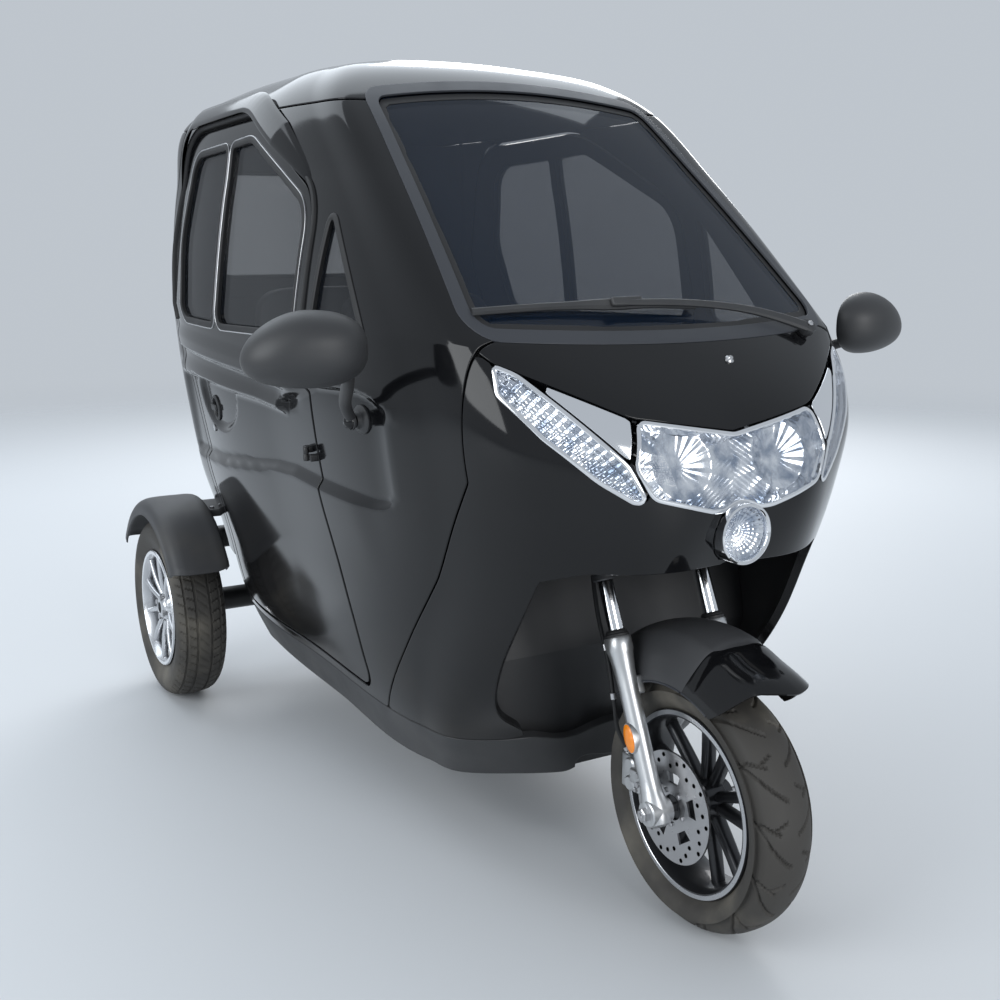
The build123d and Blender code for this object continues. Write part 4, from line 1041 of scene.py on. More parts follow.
dish_at = np.stack([radius * np.cos(angle), -76 + dish, ROUND_Z + radius * np.sin(angle)], -1)
dish_faces = quads(*dish_at.shape[:2], True)[:, ::-1]
Shape().add(dish_at, dish_faces).make("round_reflector", [reflector])
ROUND_COVER = [(0.1, 8), (16, 7.4), (30, 5.6), (42, 2.4), (46, 0), (46, -2)]
Shape().add(*lathe(ROUND_COVER, AHEAD, ROUND_AT, 64)).make("round_cover", [clear])
tally("bulbs and round lamp")

# %% [markdown]
# ## Tyres
# The front tyre has swept V grooves, and the rear ones have grooves round them with slots between. Tread
# blocks could be an array bent to a ring, but it would show seams. Here the tyre's section is a spline
# turned about the axle, and grooves are cut along its normal by a depth over (a, w): a runs round the
# tyre and w across it from the crown.


# %% Tyre section and grooves
TYRE_STEPS = 400


def tyre(radius, half, bead_r, rim_half, crown, depth, at):
    """P(a, w) = section(w) - depth(a, w) n, turned about the axle."""
    middle = (radius + bead_r) / 2
    line = [
        (rim_half - 4, bead_r - 1), (rim_half, bead_r + 5), (half - 4, middle - 12), (half, middle + 6),
        (half - 5, radius - crown - 4), (half * 0.74, radius - crown * 0.46),
        (half * 0.4, radius - crown * 0.1),
    ]
    line = np.array([(-x, r) for x, r in line] + [(0, radius)] + line[::-1], float)
    knots = run_along(line)
    centre = knots[len(line) // 2]
    tread = half + crown * 0.62
    fine = spaced((0, centre - tread, 7), (centre - tread, centre + tread, 2.1), (centre + tread, knots[-1], 7))
    section = spline(knots, line, fine)
    section[:, 1] = np.minimum(section[:, 1], radius)
    ahead = unit(np.gradient(section, axis=0))
    normal = np.stack([-ahead[:, 1], ahead[:, 0]], -1)
    angle = full_turn(TYRE_STEPS)[:, None]
    cut = depth(angle * radius, (fine - centre)[None])
    wall = np.abs(fine - centre)
    cut = cut - 0.8 * ((wall > tread + 14) & (wall < tread + 17))[None]
    x = section[None, :, 0] - normal[None, :, 0] * cut
    r = section[None, :, 1] - normal[None, :, 1] * cut
    verts = np.stack([x, r * np.sin(angle), r * np.cos(angle)], -1) + np.asarray(at, float)
    return Shape().add(verts, quads(TYRE_STEPS, len(fine), True, False))


def groove(a, centre, half, period):
    """1 in a groove of that half width round a centre line, repeated every period."""
    off = np.abs((a - centre + period / 2) % period - period / 2)
    return 1 - step(off, half - 1.0, half + 1.0)


# %% Two treads
def scooter_tread(a, w):
    """Sweeping V grooves, half a period apart on the two sides, with short branches."""
    period = 2 * np.pi * FRONT_R / 13
    a, w = a + np.where(w > 0, 0, period / 2), np.abs(w)
    sweep = 0.35 * w + 0.0125 * w * w
    main = groove(a, sweep, 3.4, period) * step(w, 4, 8) * (1 - step(w, 70, 76))
    branch = groove(a, 46 + 0.62 * w, 2.6, period) * step(w, 26, 30) * (1 - step(w, 60, 66))
    bridge = groove(a, 92 - 0.5 * w, 2.2, period) * step(w, 12, 16) * (1 - step(w, 40, 46))
    sipe = groove(a, 70 + 0.2 * w, 1.8, period) * step(w, 52, 55) * (1 - step(w, 74, 78))
    return 4.5 * np.maximum(np.maximum(main, branch), np.maximum(bridge, sipe * 0.7))


def car_tread(a, w):
    """Four grooves round the tyre and slanted slots between them."""
    period = 2 * np.pi * REAR_R / 58
    off = np.abs(w)
    rounds = np.maximum(1 - step(np.abs(off - 19), 2.2, 4.2), 1 - step(np.abs(off - 46), 1.6, 3.4))
    shift = np.where(w > 0, 0, period / 2)
    slots = groove(a + shift, 0.5 * off, 2.0, period) * step(off, 21, 23) * (1 - step(off, 66, 71))
    mid = groove(a, 0.9 * w, 1.6, period) * (1 - step(off, 12, 15))
    return 5.0 * np.maximum(rounds, np.maximum(slots * 0.85, mid * 0.5))


# %% Three tyres
WHEELS = ("rear_wheel_left", "rear_wheel_right")
front_tyre = tyre(FRONT_R, 65, 168, 41, 34, scooter_tread, FRONT_AXLE)
front_tyre.make("front_tyre_tread", [tread_rubber], "front_wheel", ["front_tyre"], 30)
rear_tyre = tyre(REAR_R, 67.5, 154, 52, 16, car_tread, REAR_AXLE)
pair(rear_tyre, "rear_tyre_tread", [tread_rubber], WHEELS, "rear_tyre")
tally("tyres")

# %% [markdown]
# ## Rims and disc
# The rims are castings: a barrel with bright lips, a hub, and five pairs of spokes in front or ten spokes
# behind. Spokes cut out of a plate would have flat faces. Here barrels and hubs are lathed, and each
# spoke is an oval section swept from hub to barrel, then turned to its places.


# %% Spokes and wheels
def turn_x(points, degrees):
    """Points turned about the x axis."""
    a = math.radians(degrees)
    y, z = points[..., 1], points[..., 2]
    return np.stack([points[..., 0], y * math.cos(a) - z * math.sin(a), y * math.sin(a) + z * math.cos(a)], -1)


def signed_power(value, e):
    """|v|^e with the sign of v."""
    return np.sign(value) * np.abs(value) ** e


def spoke(path, wide, thick):
    """A superellipse |a/w|^p + |b/t|^p = 1 swept along the path, both sizes changing along it."""
    power = 2.6
    path = curve(path, 14)
    angle = full_turn(20)
    oval = signed_power(np.stack([np.cos(angle), np.sin(angle)], -1), 2 / power)
    part = np.linspace(0, 1, len(path))[:, None, None]
    size = wide[0] * (1 - part) + wide[1] * part
    deep = thick[0] * (1 - part) + thick[1] * part
    ahead = unit(np.gradient(path, axis=0))
    over = unit(np.array([1.0, 0, 0]) - ahead * ahead[:, :1])
    across = np.cross(over, ahead)
    a, b = oval[None, :, :1], oval[None, :, 1:]
    verts = path[:, None] + a * size * across[:, None] + b * deep * over[:, None]
    return verts, quads(len(path), len(angle), False, True)


def wheel(at, lathed, spokes, turns):
    """Lathed profiles (points, steps, slot) and spokes, each turned by its angles about the axle."""
    made = Shape()
    for profile, steps, slot in lathed:
        made.add(*turned(profile, steps, at), slot)
    for degrees in turns:
        for path, wide, thick in spokes:
            verts, faces = spoke(path, wide, thick)
            made.add(turn_x(verts, degrees) + at, faces)
    return made


# %% Front rim and rear rims
RIM_STEPS, HUB_STEPS = 128, 72
FRONT_BARREL = [
    (45, 174), (47, 176), (50, 174.5), (50, 163), (44, 160), (30, 156), (-30, 156), (-44, 160), (-50, 163),
    (-50, 174.5), (-47, 176), (-45, 174), (-45, 168), (-34, 164), (34, 164), (45, 168),
]
FRONT_LIPS = ([(50.6, 174), (50.8, 166), (47, 161.5), (46, 162), (49, 167), (49, 173.5)],
              [(-50.6, 174), (-49, 173.5), (-49, 167), (-46, 162), (-47, 161.5), (-50.8, 166)])
FRONT_HUB = [
    (-70, 8.4), (-70, 30), (-60, 34), (-24, 34), (-20, 40), (20, 40), (26, 33), (44, 30), (46, 26), (46, 8.4),
]
REAR_BARREL = [(56, 159), (58, 161), (60.5, 159), (60.5, 149), (50, 142), (30, 139), (-50, 141), (-60, 150),
               (-60, 159), (-57, 161), (-56, 153), (56, 153)]
REAR_LIP = [(61.2, 158), (61.4, 150), (52, 143.5), (50, 144), (59, 151), (59.4, 157.5)]
REAR_HUB = [(-18, 15.4), (-18, 44), (28, 46), (40, 40), (44, 32), (46, 30), (52, 28), (54, 24), (54, 15.4)]
front_spokes = [
    ([(8, lean * 10, 34), (10, lean * 20, 80), (10, lean * 36, 152)], (10, 12), (15, 12)) for lean in (-1, 1)
]
front_rim = wheel(
    FRONT_AXLE,
    [(FRONT_BARREL, RIM_STEPS, 0), *[(lip, RIM_STEPS, 1) for lip in FRONT_LIPS], (FRONT_HUB, HUB_STEPS, 0)],
    front_spokes, range(10, 370, 72))
front_rim.make("front_alloy", [dark_alloy, bright_alloy], "front_wheel", ["front_rim"])
rear_rim = wheel(
    REAR_AXLE, [(REAR_BARREL, RIM_STEPS, 0), (REAR_LIP, RIM_STEPS, 1), (REAR_HUB, HUB_STEPS, 0)],
    [([(34, 0, 40), (42, 0, 84), (46, 0, 142)], (8, 6.5), (10, 9))], range(0, 360, 36))
nut, nut_faces = turned([(44, 0.1), (55, 0.1), (56, 4), (55, 7.5), (44, 7.5)], 12)
for degrees in range(18, 378, 90):
    rear_rim.add(turn_x(nut + (0, 0, 30), degrees) + REAR_AXLE, nut_faces, 2)
pair(rear_rim, "rear_alloy", [bright_alloy, chrome, steel], WHEELS, "rear_rim")
tally("rims")

# %% Disc bolts and holes
disc_bits = Shape()
bolt, bolt_faces = turned([(-80, 0.1), (-80, 3), (-79, 4.6), (-76, 4.6)], 12)
hole, hole_faces = turned([(-76.4, 0.1), (-76.4, 4.2)], 16)
for degrees in range(0, 360, 72):
    disc_bits.add(turn_x(bolt + (0, 0, 33), degrees + 36) + FRONT_AXLE, bolt_faces[:, ::-1])
    for r in (78, 88, 97):
        for lead in (0, 36):
            placed = turn_x(hole + (0, 0, r), degrees + r * 1.3 + lead) + FRONT_AXLE
            disc_bits.add(placed, hole_faces[:, ::-1], 1)
disc_bits.make("disc_bolts", [steel, rubber], "front_wheel")
tally("disc bolts")

# %% [markdown]
# ## Building blocks for small parts
# Brackets, clamps and cushions are boxes with soft edges. A cube with a Bevel modifier would do, but a
# formula gives the finished mesh at once, in any coordinates. A `block` is a box whose corners are
# spheres: P = corner + r n. A `puffed` block is a superellipsoid, for cushions. A `slab` closes two equal
# grids into one sheet. `framed` stands a part on the skin by its normal.


# %% Rounded boxes and cushions
def block(low, high, r):
    """A box with rounded edges: P = corner + r n, n over one octant of a sphere at each corner."""
    steps = 4
    low, high = np.asarray(low, float), np.asarray(high, float)
    r = min(r, *((high - low) / 2 - 0.01))
    turn = np.concatenate([q * 90 + np.linspace(0, 90, steps) for q in range(4)])
    rise = np.concatenate([np.linspace(-90, 0, steps), np.linspace(0, 90, steps)])
    signs = (np.repeat([1, -1, -1, 1], steps)[None], np.repeat([1, 1, -1, -1], steps)[None],
             np.repeat([-1, 1], steps)[:, None])
    t, p = np.radians(turn)[None], np.radians(rise)[:, None]
    n = np.stack([np.cos(p) * np.cos(t), np.cos(p) * np.sin(t), np.sin(p) + 0 * t], -1)
    verts = (low + high) / 2 + np.stack(np.broadcast_arrays(*signs), -1) * ((high - low) / 2 - r) + r * n
    size, last = 4 * steps, (2 * steps - 1) * 4 * steps
    faces = quads(2 * steps, size, False, True).tolist()
    faces += [[k * steps for k in (3, 2, 1, 0)], [last + k * steps for k in range(4)]]
    return verts, faces


def puffed(low, high, seams):
    """Superellipsoid x = a C(t) C(p), y = b S(t) C(p), z = c S(p): C and S are cosine and sine to the power e.

    A sewn groove runs at each x in seams."""
    rows, cols, e = 36, 96, 0.3
    low, high = np.asarray(low, float), np.asarray(high, float)
    t = np.linspace(-np.pi, np.pi, cols, endpoint=False)[None]
    p = np.linspace(-np.pi / 2, np.pi / 2, rows)[:, None]
    cos_t, sin_t, cos_p, sin_p = (signed_power(f(v), e) for v in (t, p) for f in (np.cos, np.sin))
    ball = np.stack([cos_t * cos_p, sin_t * cos_p, sin_p + 0 * t], -1)
    verts = (low + high) / 2 + ball * (high - low) / 2
    for seam in seams:
        verts -= 5 * np.exp(-((verts[..., :1] - seam) / 5) ** 2) * ball * (np.abs(ball[..., :1]) < 0.95)
    return verts, quads(rows, cols, False, True)


# %% Closed sheets, and parts that stand on the skin
def slab(outer, inner):
    """A closed sheet between two equal grids of points."""
    rows, cols = outer.shape[:2]
    size = rows * cols
    border = list(range(cols)) + [r * cols + cols - 1 for r in range(1, rows)]
    border += [size - 1 - k for k in range(1, cols)] + [r * cols for r in range(rows - 2, 0, -1)]
    face = quads(rows, cols)
    faces = face.tolist() + (face[:, ::-1] + size).tolist()
    faces += [[b, a, a + size, b + size] for a, b in zip(border, border[1:] + border[:1])]
    return Shape().add(np.concatenate([outer.reshape(-1, 3), inner.reshape(-1, 3)]), faces)


def on_skin(y, z):
    """The left side's point and normal there, from its four nearest vertices."""
    left = SKIN[..., 0] > 200
    points, normal = SKIN[left], SKIN_N[left]
    far = np.hypot(points[:, 1] - y, points[:, 2] - z)
    near = np.argsort(far)[:4]
    part = 1 / (far[near] + 0.5)
    part /= part.sum()
    return part @ points[near], part @ normal[near]


def framed(part, at, out):
    """A part's local (a level, b up, h out) carried to P = at + a e1 + b e2 + h n."""
    verts, faces = part
    out = unit(np.asarray(out, float))
    level = unit(np.cross((0, 0, 1), out))
    rise = np.cross(out, level)
    return np.asarray(at) + verts[..., :1] * level + verts[..., 1:2] * rise + verts[..., 2:] * out, faces


# %% [markdown]
# ## Fork, brake and front mudguard
# The fork's legs lean back. Its pieces could be built upright and turned, but a finished object has to
# stay unturned at the origin. So they are written in raked coordinates (x, v, h): h runs up the fork legs
# and v behind them. The mudguard is a sheet over (a, w), a round the axle and w across it, whose front
# lip flares upward to a peak.


# %% Raked coordinates
RAKE = math.radians(24.4)
UP_RAKE = np.array([0, math.sin(RAKE), math.cos(RAKE)])


def raked(verts):
    """(x, v, h) -> (x, h sin k + v cos k, R + h cos k - v sin k), with the axle as origin."""
    x, v, h = np.moveaxis(np.asarray(verts, float), -1, 0)
    sin, cos = math.sin(RAKE), math.cos(RAKE)
    return np.stack([x, h * sin + v * cos, FRONT_R + h * cos - v * sin], -1)


def raked_block(shape, low, high, r, slot=0):
    """A rounded box between two corners in raked coordinates, added to a shape."""
    verts, faces = block(low, high, r)
    shape.add(raked(verts), faces, slot)


# %% Fork
LEG = [(0.1, -27), (15, -27), (22, -22), (24.5, -12), (24.5, 16), (20, 34), (18.5, 60), (18.5, 225), (20, 262),
       (23.5, 290), (25.5, 297), (25.5, 319), (24, 321.5), (19, 322)]
DUST_SEAL = [(23, 320), (23.4, 326), (21, 328), (20.5, 331), (18, 334), (16.3, 335)]
TOP_CAP = [(19, 480), (19, 486), (12, 490), (11, 494), (0.1, 494)]
AXLE_CLAMP = [(-24, 0.1), (-24, 22), (-22, 24.5), (21, 24.5), (23, 22), (23, 0.1)]
AXLE_NUT = [(134, 0.1), (134, 13.5), (145, 13.5), (147, 11), (147, 6), (150, 5), (150, 0.1)]
fork, foot = Shape(), (112, 0, FRONT_R)
for profile, steps, slot in ((LEG, 40, 0), (DUST_SEAL, 40, 1), ([(16, 318), (16, 452)], 40, 2),
                             ([(17, 428), (22, 430), (22, 441), (19, 443)], 40, 3), (TOP_CAP, 32, 4)):
    fork.add(*lathe(profile, UP_RAKE, foot, steps), slot)
fork.add(*turned(AXLE_CLAMP, 48, foot, False))
fork.add(*turned(AXLE_NUT, 6, FRONT_AXLE, False), 4)
raked_block(fork, (84, -13, 212), (104, 13, 246), 4)
fork.add(*turned([(80, 0.1), (80, 6), (87.5, 6), (87.5, 0.1)], 6, raked((0, 0, 229)), False), 4)
fork = fork.both()
raked_block(fork, (-136, -26, 446), (136, 24, 479), 9, 3)
raked_block(fork, (-52, 10, 446), (52, 62, 479), 9, 3)
fork.add(*lathe([(0.1, 440), (14, 440), (14, 835)], UP_RAKE, raked((0, 35, 0)), 32), 4)
fork.add(*turned([(-138, 7.8), (138, 7.8)], 24, FRONT_AXLE, False), 4)
fork.make("fork_legs", [silver, rubber, chrome, trim, steel], "steering", ["fork"])
tally("fork")

# %% Brake caliper and hose
brake, outward_x = Shape(), (-1, 0, 0)
for low, high in (((-93, 80, 238), (-82.4, 137, 306)), ((-65.6, 80, 238), (-58.4, 137, 306)),
                  ((-90, 118, 242), (-61, 139, 302)), ((-108, 37, 264), (-86, 92, 293))):
    brake.add(*block(low, high, 4))
for z in (254, 290):
    brake.add(*lathe([(15, -2), (15, 4), (12, 7), (0.1, 7)], outward_x, (-93, 104, z), 28))
    brake.add(*lathe([(4.6, -2), (4.6, 4), (4, 5), (0.1, 5)], outward_x, (-93, 88, z - 8), 6), 1)
    brake.add(*lathe([(5.5, -2), (5.5, 5), (0.1, 5)], outward_x, (-108, 62, z / 2 + 143), 6), 1)
brake.add(*lathe([(7, 0), (7, 5), (5, 7), (5, 14), (0.1, 14)], (-0.3, 0.3, 0.9), (-84, 128, 302), 16), 1)
HOSE = [
    (-86, 132, 314), (-98, 142, 345), (-110, 140, 400), (-112, 160, 480), (-112, 196, 560), (-108, 222, 632),
]
hose = curve(HOSE, 60)
brake.add(*swept(hose, circle(4.2, 12), (1, 0, 0)), 2)
for k in (18, 34):
    brake.add(*swept(hose[k : k + 3], circle(6.2, 12), (1, 0, 0)), 1)
brake.make("brake_caliper", [silver, steel, rubber], "steering", ["caliper"])
tally("caliper and hose")

# %% Front mudguard
GUARD_ROWS = 72
GUARD_SIDE = [(52, 324), (62, 312), (75, 286), (84, 262), (87.6, 246), (87.6, 234)]


def guard_sheet(thin):
    """Mudguard points at a depth under the face: r gains 27 mm toward the peak of its front lip."""
    w = np.concatenate([np.linspace(0, 1, 12), np.linspace(1, 2, 16)[1:]])
    crown = spline([0, 0.5, 1], [(0, 336), (28, 333), (52, 324)], w[:12])
    flank = spline(np.linspace(0, 1, len(GUARD_SIDE)), GUARD_SIDE, w[11:] - 1)
    line = np.concatenate([crown, flank[1:]])
    line = np.concatenate([line[:0:-1] * (-1, 1), line])
    w = np.concatenate([-w[:0:-1], w]) / 2
    slope = unit(np.gradient(line, axis=0))
    fore = 39.5 - 12.5 * np.abs(w) ** 1.6
    aft = 49.5 - 3 * np.abs(w) ** 3
    part = np.linspace(0, 1, GUARD_ROWS)[:, None]
    ahead = fore - part * (fore + aft)
    lift = 27 * step(ahead, 20, 42) * (1 - np.abs(w) ** 2) * (ahead > 0)
    lift -= 3.0 * np.exp(-((ahead - 14) / 1.1) ** 2) * (1 - step(np.abs(w), 0.8, 0.95))
    x = line[:, 0] + slope[:, 1] * thin + 0 * part
    r = line[:, 1] - slope[:, 0] * thin + lift
    a = np.radians(-ahead)
    return np.stack([x, r * np.sin(a), FRONT_R + r * np.cos(a)], -1)


face, edge = guard_sheet(0), guard_sheet(1.5)
front_guard = slab(face, guard_sheet(4))
PAINTED_ROWS = 19  # the peak; behind it the guard is bare plastic
for k, corners in enumerate(front_guard.faces):
    front_guard.slots[k] = int(min(corners) % (face.size // 3) >= PAINTED_ROWS * face.shape[1])
front_guard.make("front_guard", [black, guard], "steering", ["front_mudguard"])
guard_rim = Shape()
guard_rim.add(*swept(edge[20:70, -1] + (0.6, 0, -1), circle(2.6, 10), (1, 0, 0)))
guard_rim.add(*swept(edge[2:20, -1] + (0.6, 0, -1), circle(2.2, 10), (1, 0, 0)))
guard_rim.both().make("guard_bead", [grey_strip], "steering")
tally("front mudguard")

# %% Fork reflectors
reflectors = Shape()
for x in (1, -1):
    for profile, slot in (([(27, -20), (28.5, 2), (27.5, 4), (25.5, 4)], 1),
                          ([(26, 2), (26, 5), (20, 7.5), (10, 9), (0.1, 9.4)], 0)):
        verts, faces = lathe(profile, (x, 0, 0), (0, 0, 0), 48)
        reflectors.add(raked(verts * (1, 0.56, 1) + (x * 131, 0, 137)), faces, slot)
reflectors.make("fork_reflector_lenses", [amber, silver], "steering", ["fork_reflectors"])
tally("fork reflectors")

# %% [markdown]
# ## Mirrors, wiper and handles
# Each mirror is a moulded shell on a bent arm, the wiper is a pressed arm with its blade, and each door
# has a round handle cup over its lock. A squashed sphere would make a mirror with no rim. Here it is its
# outline (x, z) scaled by f and set back by y(f): a dome, a rolled bezel and the glass. Arms and blade
# are profiles swept along splines.


# %% Door mirrors
LEVEL_UP, ORIGIN = (0, 0, 1), (0, 0, 0)
MIRROR = np.array([642, 292, 1076.0])


def yawed(verts):
    """Turned 16 degrees about the upright line, the glass toward the driver."""
    cos, sin = math.cos(math.radians(16)), math.sin(math.radians(16))
    x, y, z = np.moveaxis(verts, -1, 0)
    return MIRROR + np.stack([x * cos - y * sin, x * sin + y * cos, z], -1)


def mirror_outline(steps):
    """Superellipse halves: blunt toward the car, drawn out and lower at the outer end."""
    cos, sin = np.cos(full_turn(steps)), np.sin(full_turn(steps))
    x = np.where(cos < 0, 104, 109) * signed_power(cos, 2 / np.where(cos < 0, 2.5, 1.75))
    z = np.where(sin > 0, 66, 64) * signed_power(sin, 2 / np.where(cos < 0, 2.5, 2.05))
    return np.stack([x, 0 * cos, z - 16 * np.clip(cos, 0, 1) ** 2], -1)


def door_mirror():
    """Shell, glass, foot on the skin, arm with two ball joints and a collar."""
    outline = mirror_outline(72)
    domes = [(f, -64 * (1 - f ** 2.4) ** 0.62 + 4) for f in np.sin(np.linspace(0.001, np.pi / 2, 26))]
    behind = [(1.005, 9), (0.995, 14), (0.975, 16), (0.95, 15.4), (0.93, 11.5)]
    made = Shape()
    for levels, slot in ((domes + behind, 0), ([(f, 11.5) for f in (0.93, 0.6, 0.001)], 1)):
        sheet = np.stack([outline * (f, 1, f) + (0, y, 0) for f, y in levels])
        made.add(yawed(sheet), quads(*sheet.shape[:2], False, True)[:, ::-1], slot)
    at, out = on_skin(440, 930)
    base = lathe([(28, -8), (28, 3), (25, 6.5), (17, 9), (13, 15), (12.5, 24)], LEVEL_UP, ORIGIN, 40)
    made.add(*framed(base, at, out))
    knee = at + out * 24
    arm = curve([knee - out * 3, (523, 414, 962), (538, 368, 1000), (560, 318, 1028), (592, 286, 1042)], 40)
    made.add(*swept(arm, circle(12, 24), LEVEL_UP, 1 - 0.2 * np.linspace(-1, 1, len(arm)) ** 2))
    for centre, radius, slot in ((knee, 15, 2), (arm[-2], 16, 0)):
        ball = [(max(radius * math.sin(a), 0.05), -radius * math.cos(a)) for a in np.linspace(0, np.pi, 17)]
        made.add(*lathe(ball, out, centre, 32), slot)
    return made.add(*lathe([(15.4, -3), (16.6, -2), (16.6, 2), (15.4, 3)], out, knee, 32))


pair(door_mirror(), "door_mirror", [trim, mirror_mat, black], stem="mirror")
tally("mirrors")

# %% Wiper
BLADE = [(-376, 204, 1136), (-218, 176, 1143), (-60, 158, 1143), (60, 154, 1137)]
ARM = [
    (-96, 150, 1147), (-20, 146, 1146), (90, 139, 1139), (190, 128, 1124), (262, 112, 1104), (291, 104, 1094),
]
blade, arm = curve(BLADE, 80), curve(ARM, 60)
blade_scale = 1 + 0.55 * np.exp(-(np.linspace(-1.45, 1, len(blade)) / 0.34) ** 2)
arm_scale = np.interp(np.linspace(0, 1, len(arm)), [0, 0.1, 0.6, 1], [0.6, 0.8, 0.9, 1.35])
off_glass, pivot, pivot_axis = (0, -0.83, 0.55), (300, 126, 1078), (-0.05, -0.75, 0.66)
wiper = Shape()
wiper.add(*swept(blade, [(-1.2, -1), (1.2, -1), (0.7, -10), (-0.7, -10)], (0, -0.83, -0.55)), 1)
wiper.add(*swept(blade, [(-7, -2), (7, -2), (7, 1), (3.5, 5), (-3.5, 5), (-7, 1)], off_glass, blade_scale))
wiper.add(*swept(arm, [(-8, -3), (8, -3), (8, 1), (5, 3.5), (-5, 3.5), (-8, 1)], off_glass, arm_scale))
PIVOT_CAP = [(12, -16), (12, 12), (16, 14), (17, 22), (15, 28), (9, 31), (0.1, 31)]
wiper.add(*lathe(PIVOT_CAP, pivot_axis, pivot, 32))
wiper.add(*lathe([(6, 30), (6, 34), (4, 36), (0.1, 36)], pivot_axis, pivot, 6), 2)
wiper.add(*framed(block((-34, -9, -5), (34, 9, 6), 4), (-90, 155, 1148), (0.05, -0.83, 0.55)))
hood_spot = np.unravel_index(np.argmin(np.abs(SKIN[..., 0] - 60) + np.abs(SKIN[..., 2] - 1046)
                                       + 999 * (SKIN[..., 1] > 200)), SKIN.shape[:2])
wiper.add(*lathe([(9, -1), (8.5, 2.5), (5, 5), (4, 8), (0.1, 9)], SKIN_N[hood_spot], SKIN[hood_spot], 24), 2)
wiper.make("wiper_arm", [trim, rubber, steel], "root", ["wiper"])
tally("wiper")

# %% Door handles
HANDLE_Y, HANDLE_Z, LOCK_Z = 1405, 836, 786
handle, handle_at, lock_at = Shape(), on_skin(HANDLE_Y, HANDLE_Z), on_skin(HANDLE_Y, LOCK_Z)
CUP = [(33, -3), (33, 2.5), (30.5, 5), (27, 5.6), (25.5, 4), (24, -6), (20, -9), (0.1, -9.5)]
handle.add(*framed(lathe(CUP, LEVEL_UP, ORIGIN, 56), *handle_at))
for low, high in (((-24, -6, 3), (24, 10, 11)), ((-7, -9, -10), (7, 7, 6))):
    handle.add(*framed(block(low, high, 3.4), *handle_at))
handle.add(*framed(lathe([(9, -3), (9, 3), (7.5, 4.2), (0.1, 4.2)], LEVEL_UP, ORIGIN, 28), *lock_at), 1)
pair(handle, "latch", [trim, steel], DOORS, "door_handle")
tally("door handles")

# %% Hinges
HINGE_X, HINGE_Y, HINGE_ZS = 497, 686, (815, 1030)
LOWER_PIN = [(0.1, 0), (5, 0), (6, 1), (6, 13), (5.4, 14), (0.1, 14)]
UPPER_PIN = [(0.1, 14.4), (5.4, 14.4), (6, 15.4), (6, 27), (5, 28.3), (0.1, 28.3)]
knuckles = {"root": Shape(), "left_door": Shape()}
for z in HINGE_ZS:
    for body_name, profile, low, high in (
        ("root", LOWER_PIN, (450, 668, z), (494, 682, z + 14)),
        ("left_door", UPPER_PIN, (452, 694, z + 14.5), (494, 712, z + 28)),
    ):
        knuckles[body_name].add(*lathe(profile, LEVEL_UP, (HINGE_X, HINGE_Y, z), 24))
        knuckles[body_name].add(*block(low, high, 2))
for body_name, made in knuckles.items():
    made.make(f"hinge_{body_name}", [frame_mat], body_name)
    made.mirrored().make(f"hinge_{body_name}_mirrored", [frame_mat], body_name.replace("left", "right"))
tally("hinges")

# %% [markdown]
# ## Tail, rear mudguards and cabin
# Tail lamps are cut out of the skin as the panels are. A mudguard is a pressed sheet with a rolled edge:
# its section is a spline turned about the rear axle, and both ends swell into a bead. Cushions could be
# simulated as cloth, but little of them shows through dark glass, so seats are puffed blocks with seams.


# %% Tail lamps
lamp_box = rounded([(330, 600, 22), (330, 790, 22), (215, 790, 22), (215, 600, 22)])
TAIL_LAMP = Region(lambda p: distance(lamp_box, front_view(p))) & ~before(REAR + 60)  # behind the rear wheels
for name, low, high, paint, nodes in (
    ("tail_red", 700, 790, red, ["tail_lamps"]), ("tail_amber", 655, 697, amber, ()),
    ("tail_white", 590, 652, clear, ()),
):
    panel(TAIL_LAMP & above(low) & ~above(high), 1.2, 3, 14, -8, 0).make(name, [paint], "root", nodes)
panel(TAIL_LAMP, 1.5, 1, 3, 4, 0).make("tail_reflector", [chrome])
TAIL_EDGE = [(-1, -4), (-1, 9), (1, 10.5), (6, 9), (9, 4), (10, -4)]
beads(edge_loops(TAIL_LAMP), TAIL_EDGE).make("tail_bezel", [trim])
tally("tail lamps")

# %% Rear mudguards
GUARD_SECTION = [
    (424, 270), (424, 290), (425.5, 299), (430, 304), (440, 306.5), (470, 307.5), (500, 307.8), (530, 307.4),
    (552, 305), (566, 299), (574, 290), (578, 279), (578.6, 268), (580, 263),
]


def rear_guard_sheet(line):
    """A section (x, r) turned 60 degrees either way: shorter at its sides, with a bead at both ends."""
    arc = np.radians(np.linspace(-60, 60, 96))[:, None]
    a = arc * (1 - 0.05 * (np.abs(line[:, 0] - 501) / 78) ** 4)
    r = line[:, 1] + 1.6 * np.exp(-((np.abs(arc) * 57.3 - 57) / 1.8) ** 2)
    return np.stack([line[:, 0] + 0 * arc, REAR + r * np.sin(a), REAR_R + r * np.cos(a)], -1)


outer = curve(GUARD_SECTION, 44)
slope = unit(np.gradient(outer, axis=0))
inner = outer + np.stack([slope[:, 1], -slope[:, 0]], -1) * 5
rear_guard = slab(rear_guard_sheet(outer), rear_guard_sheet(inner))
rear_guard.add(*block((330, REAR - 90, 507), (428, REAR + 60, 527), 5))
for y in (REAR - 66, REAR + 36):
    rear_guard.add(*lathe([(0.1, 5), (6, 5), (6.6, 0), (6.6, -3)], LEVEL_UP, (410, y, 527), 6), 1)
pair(rear_guard, "rear_guard", [guard, steel], stem="rear_mudguard")
tally("rear mudguards")

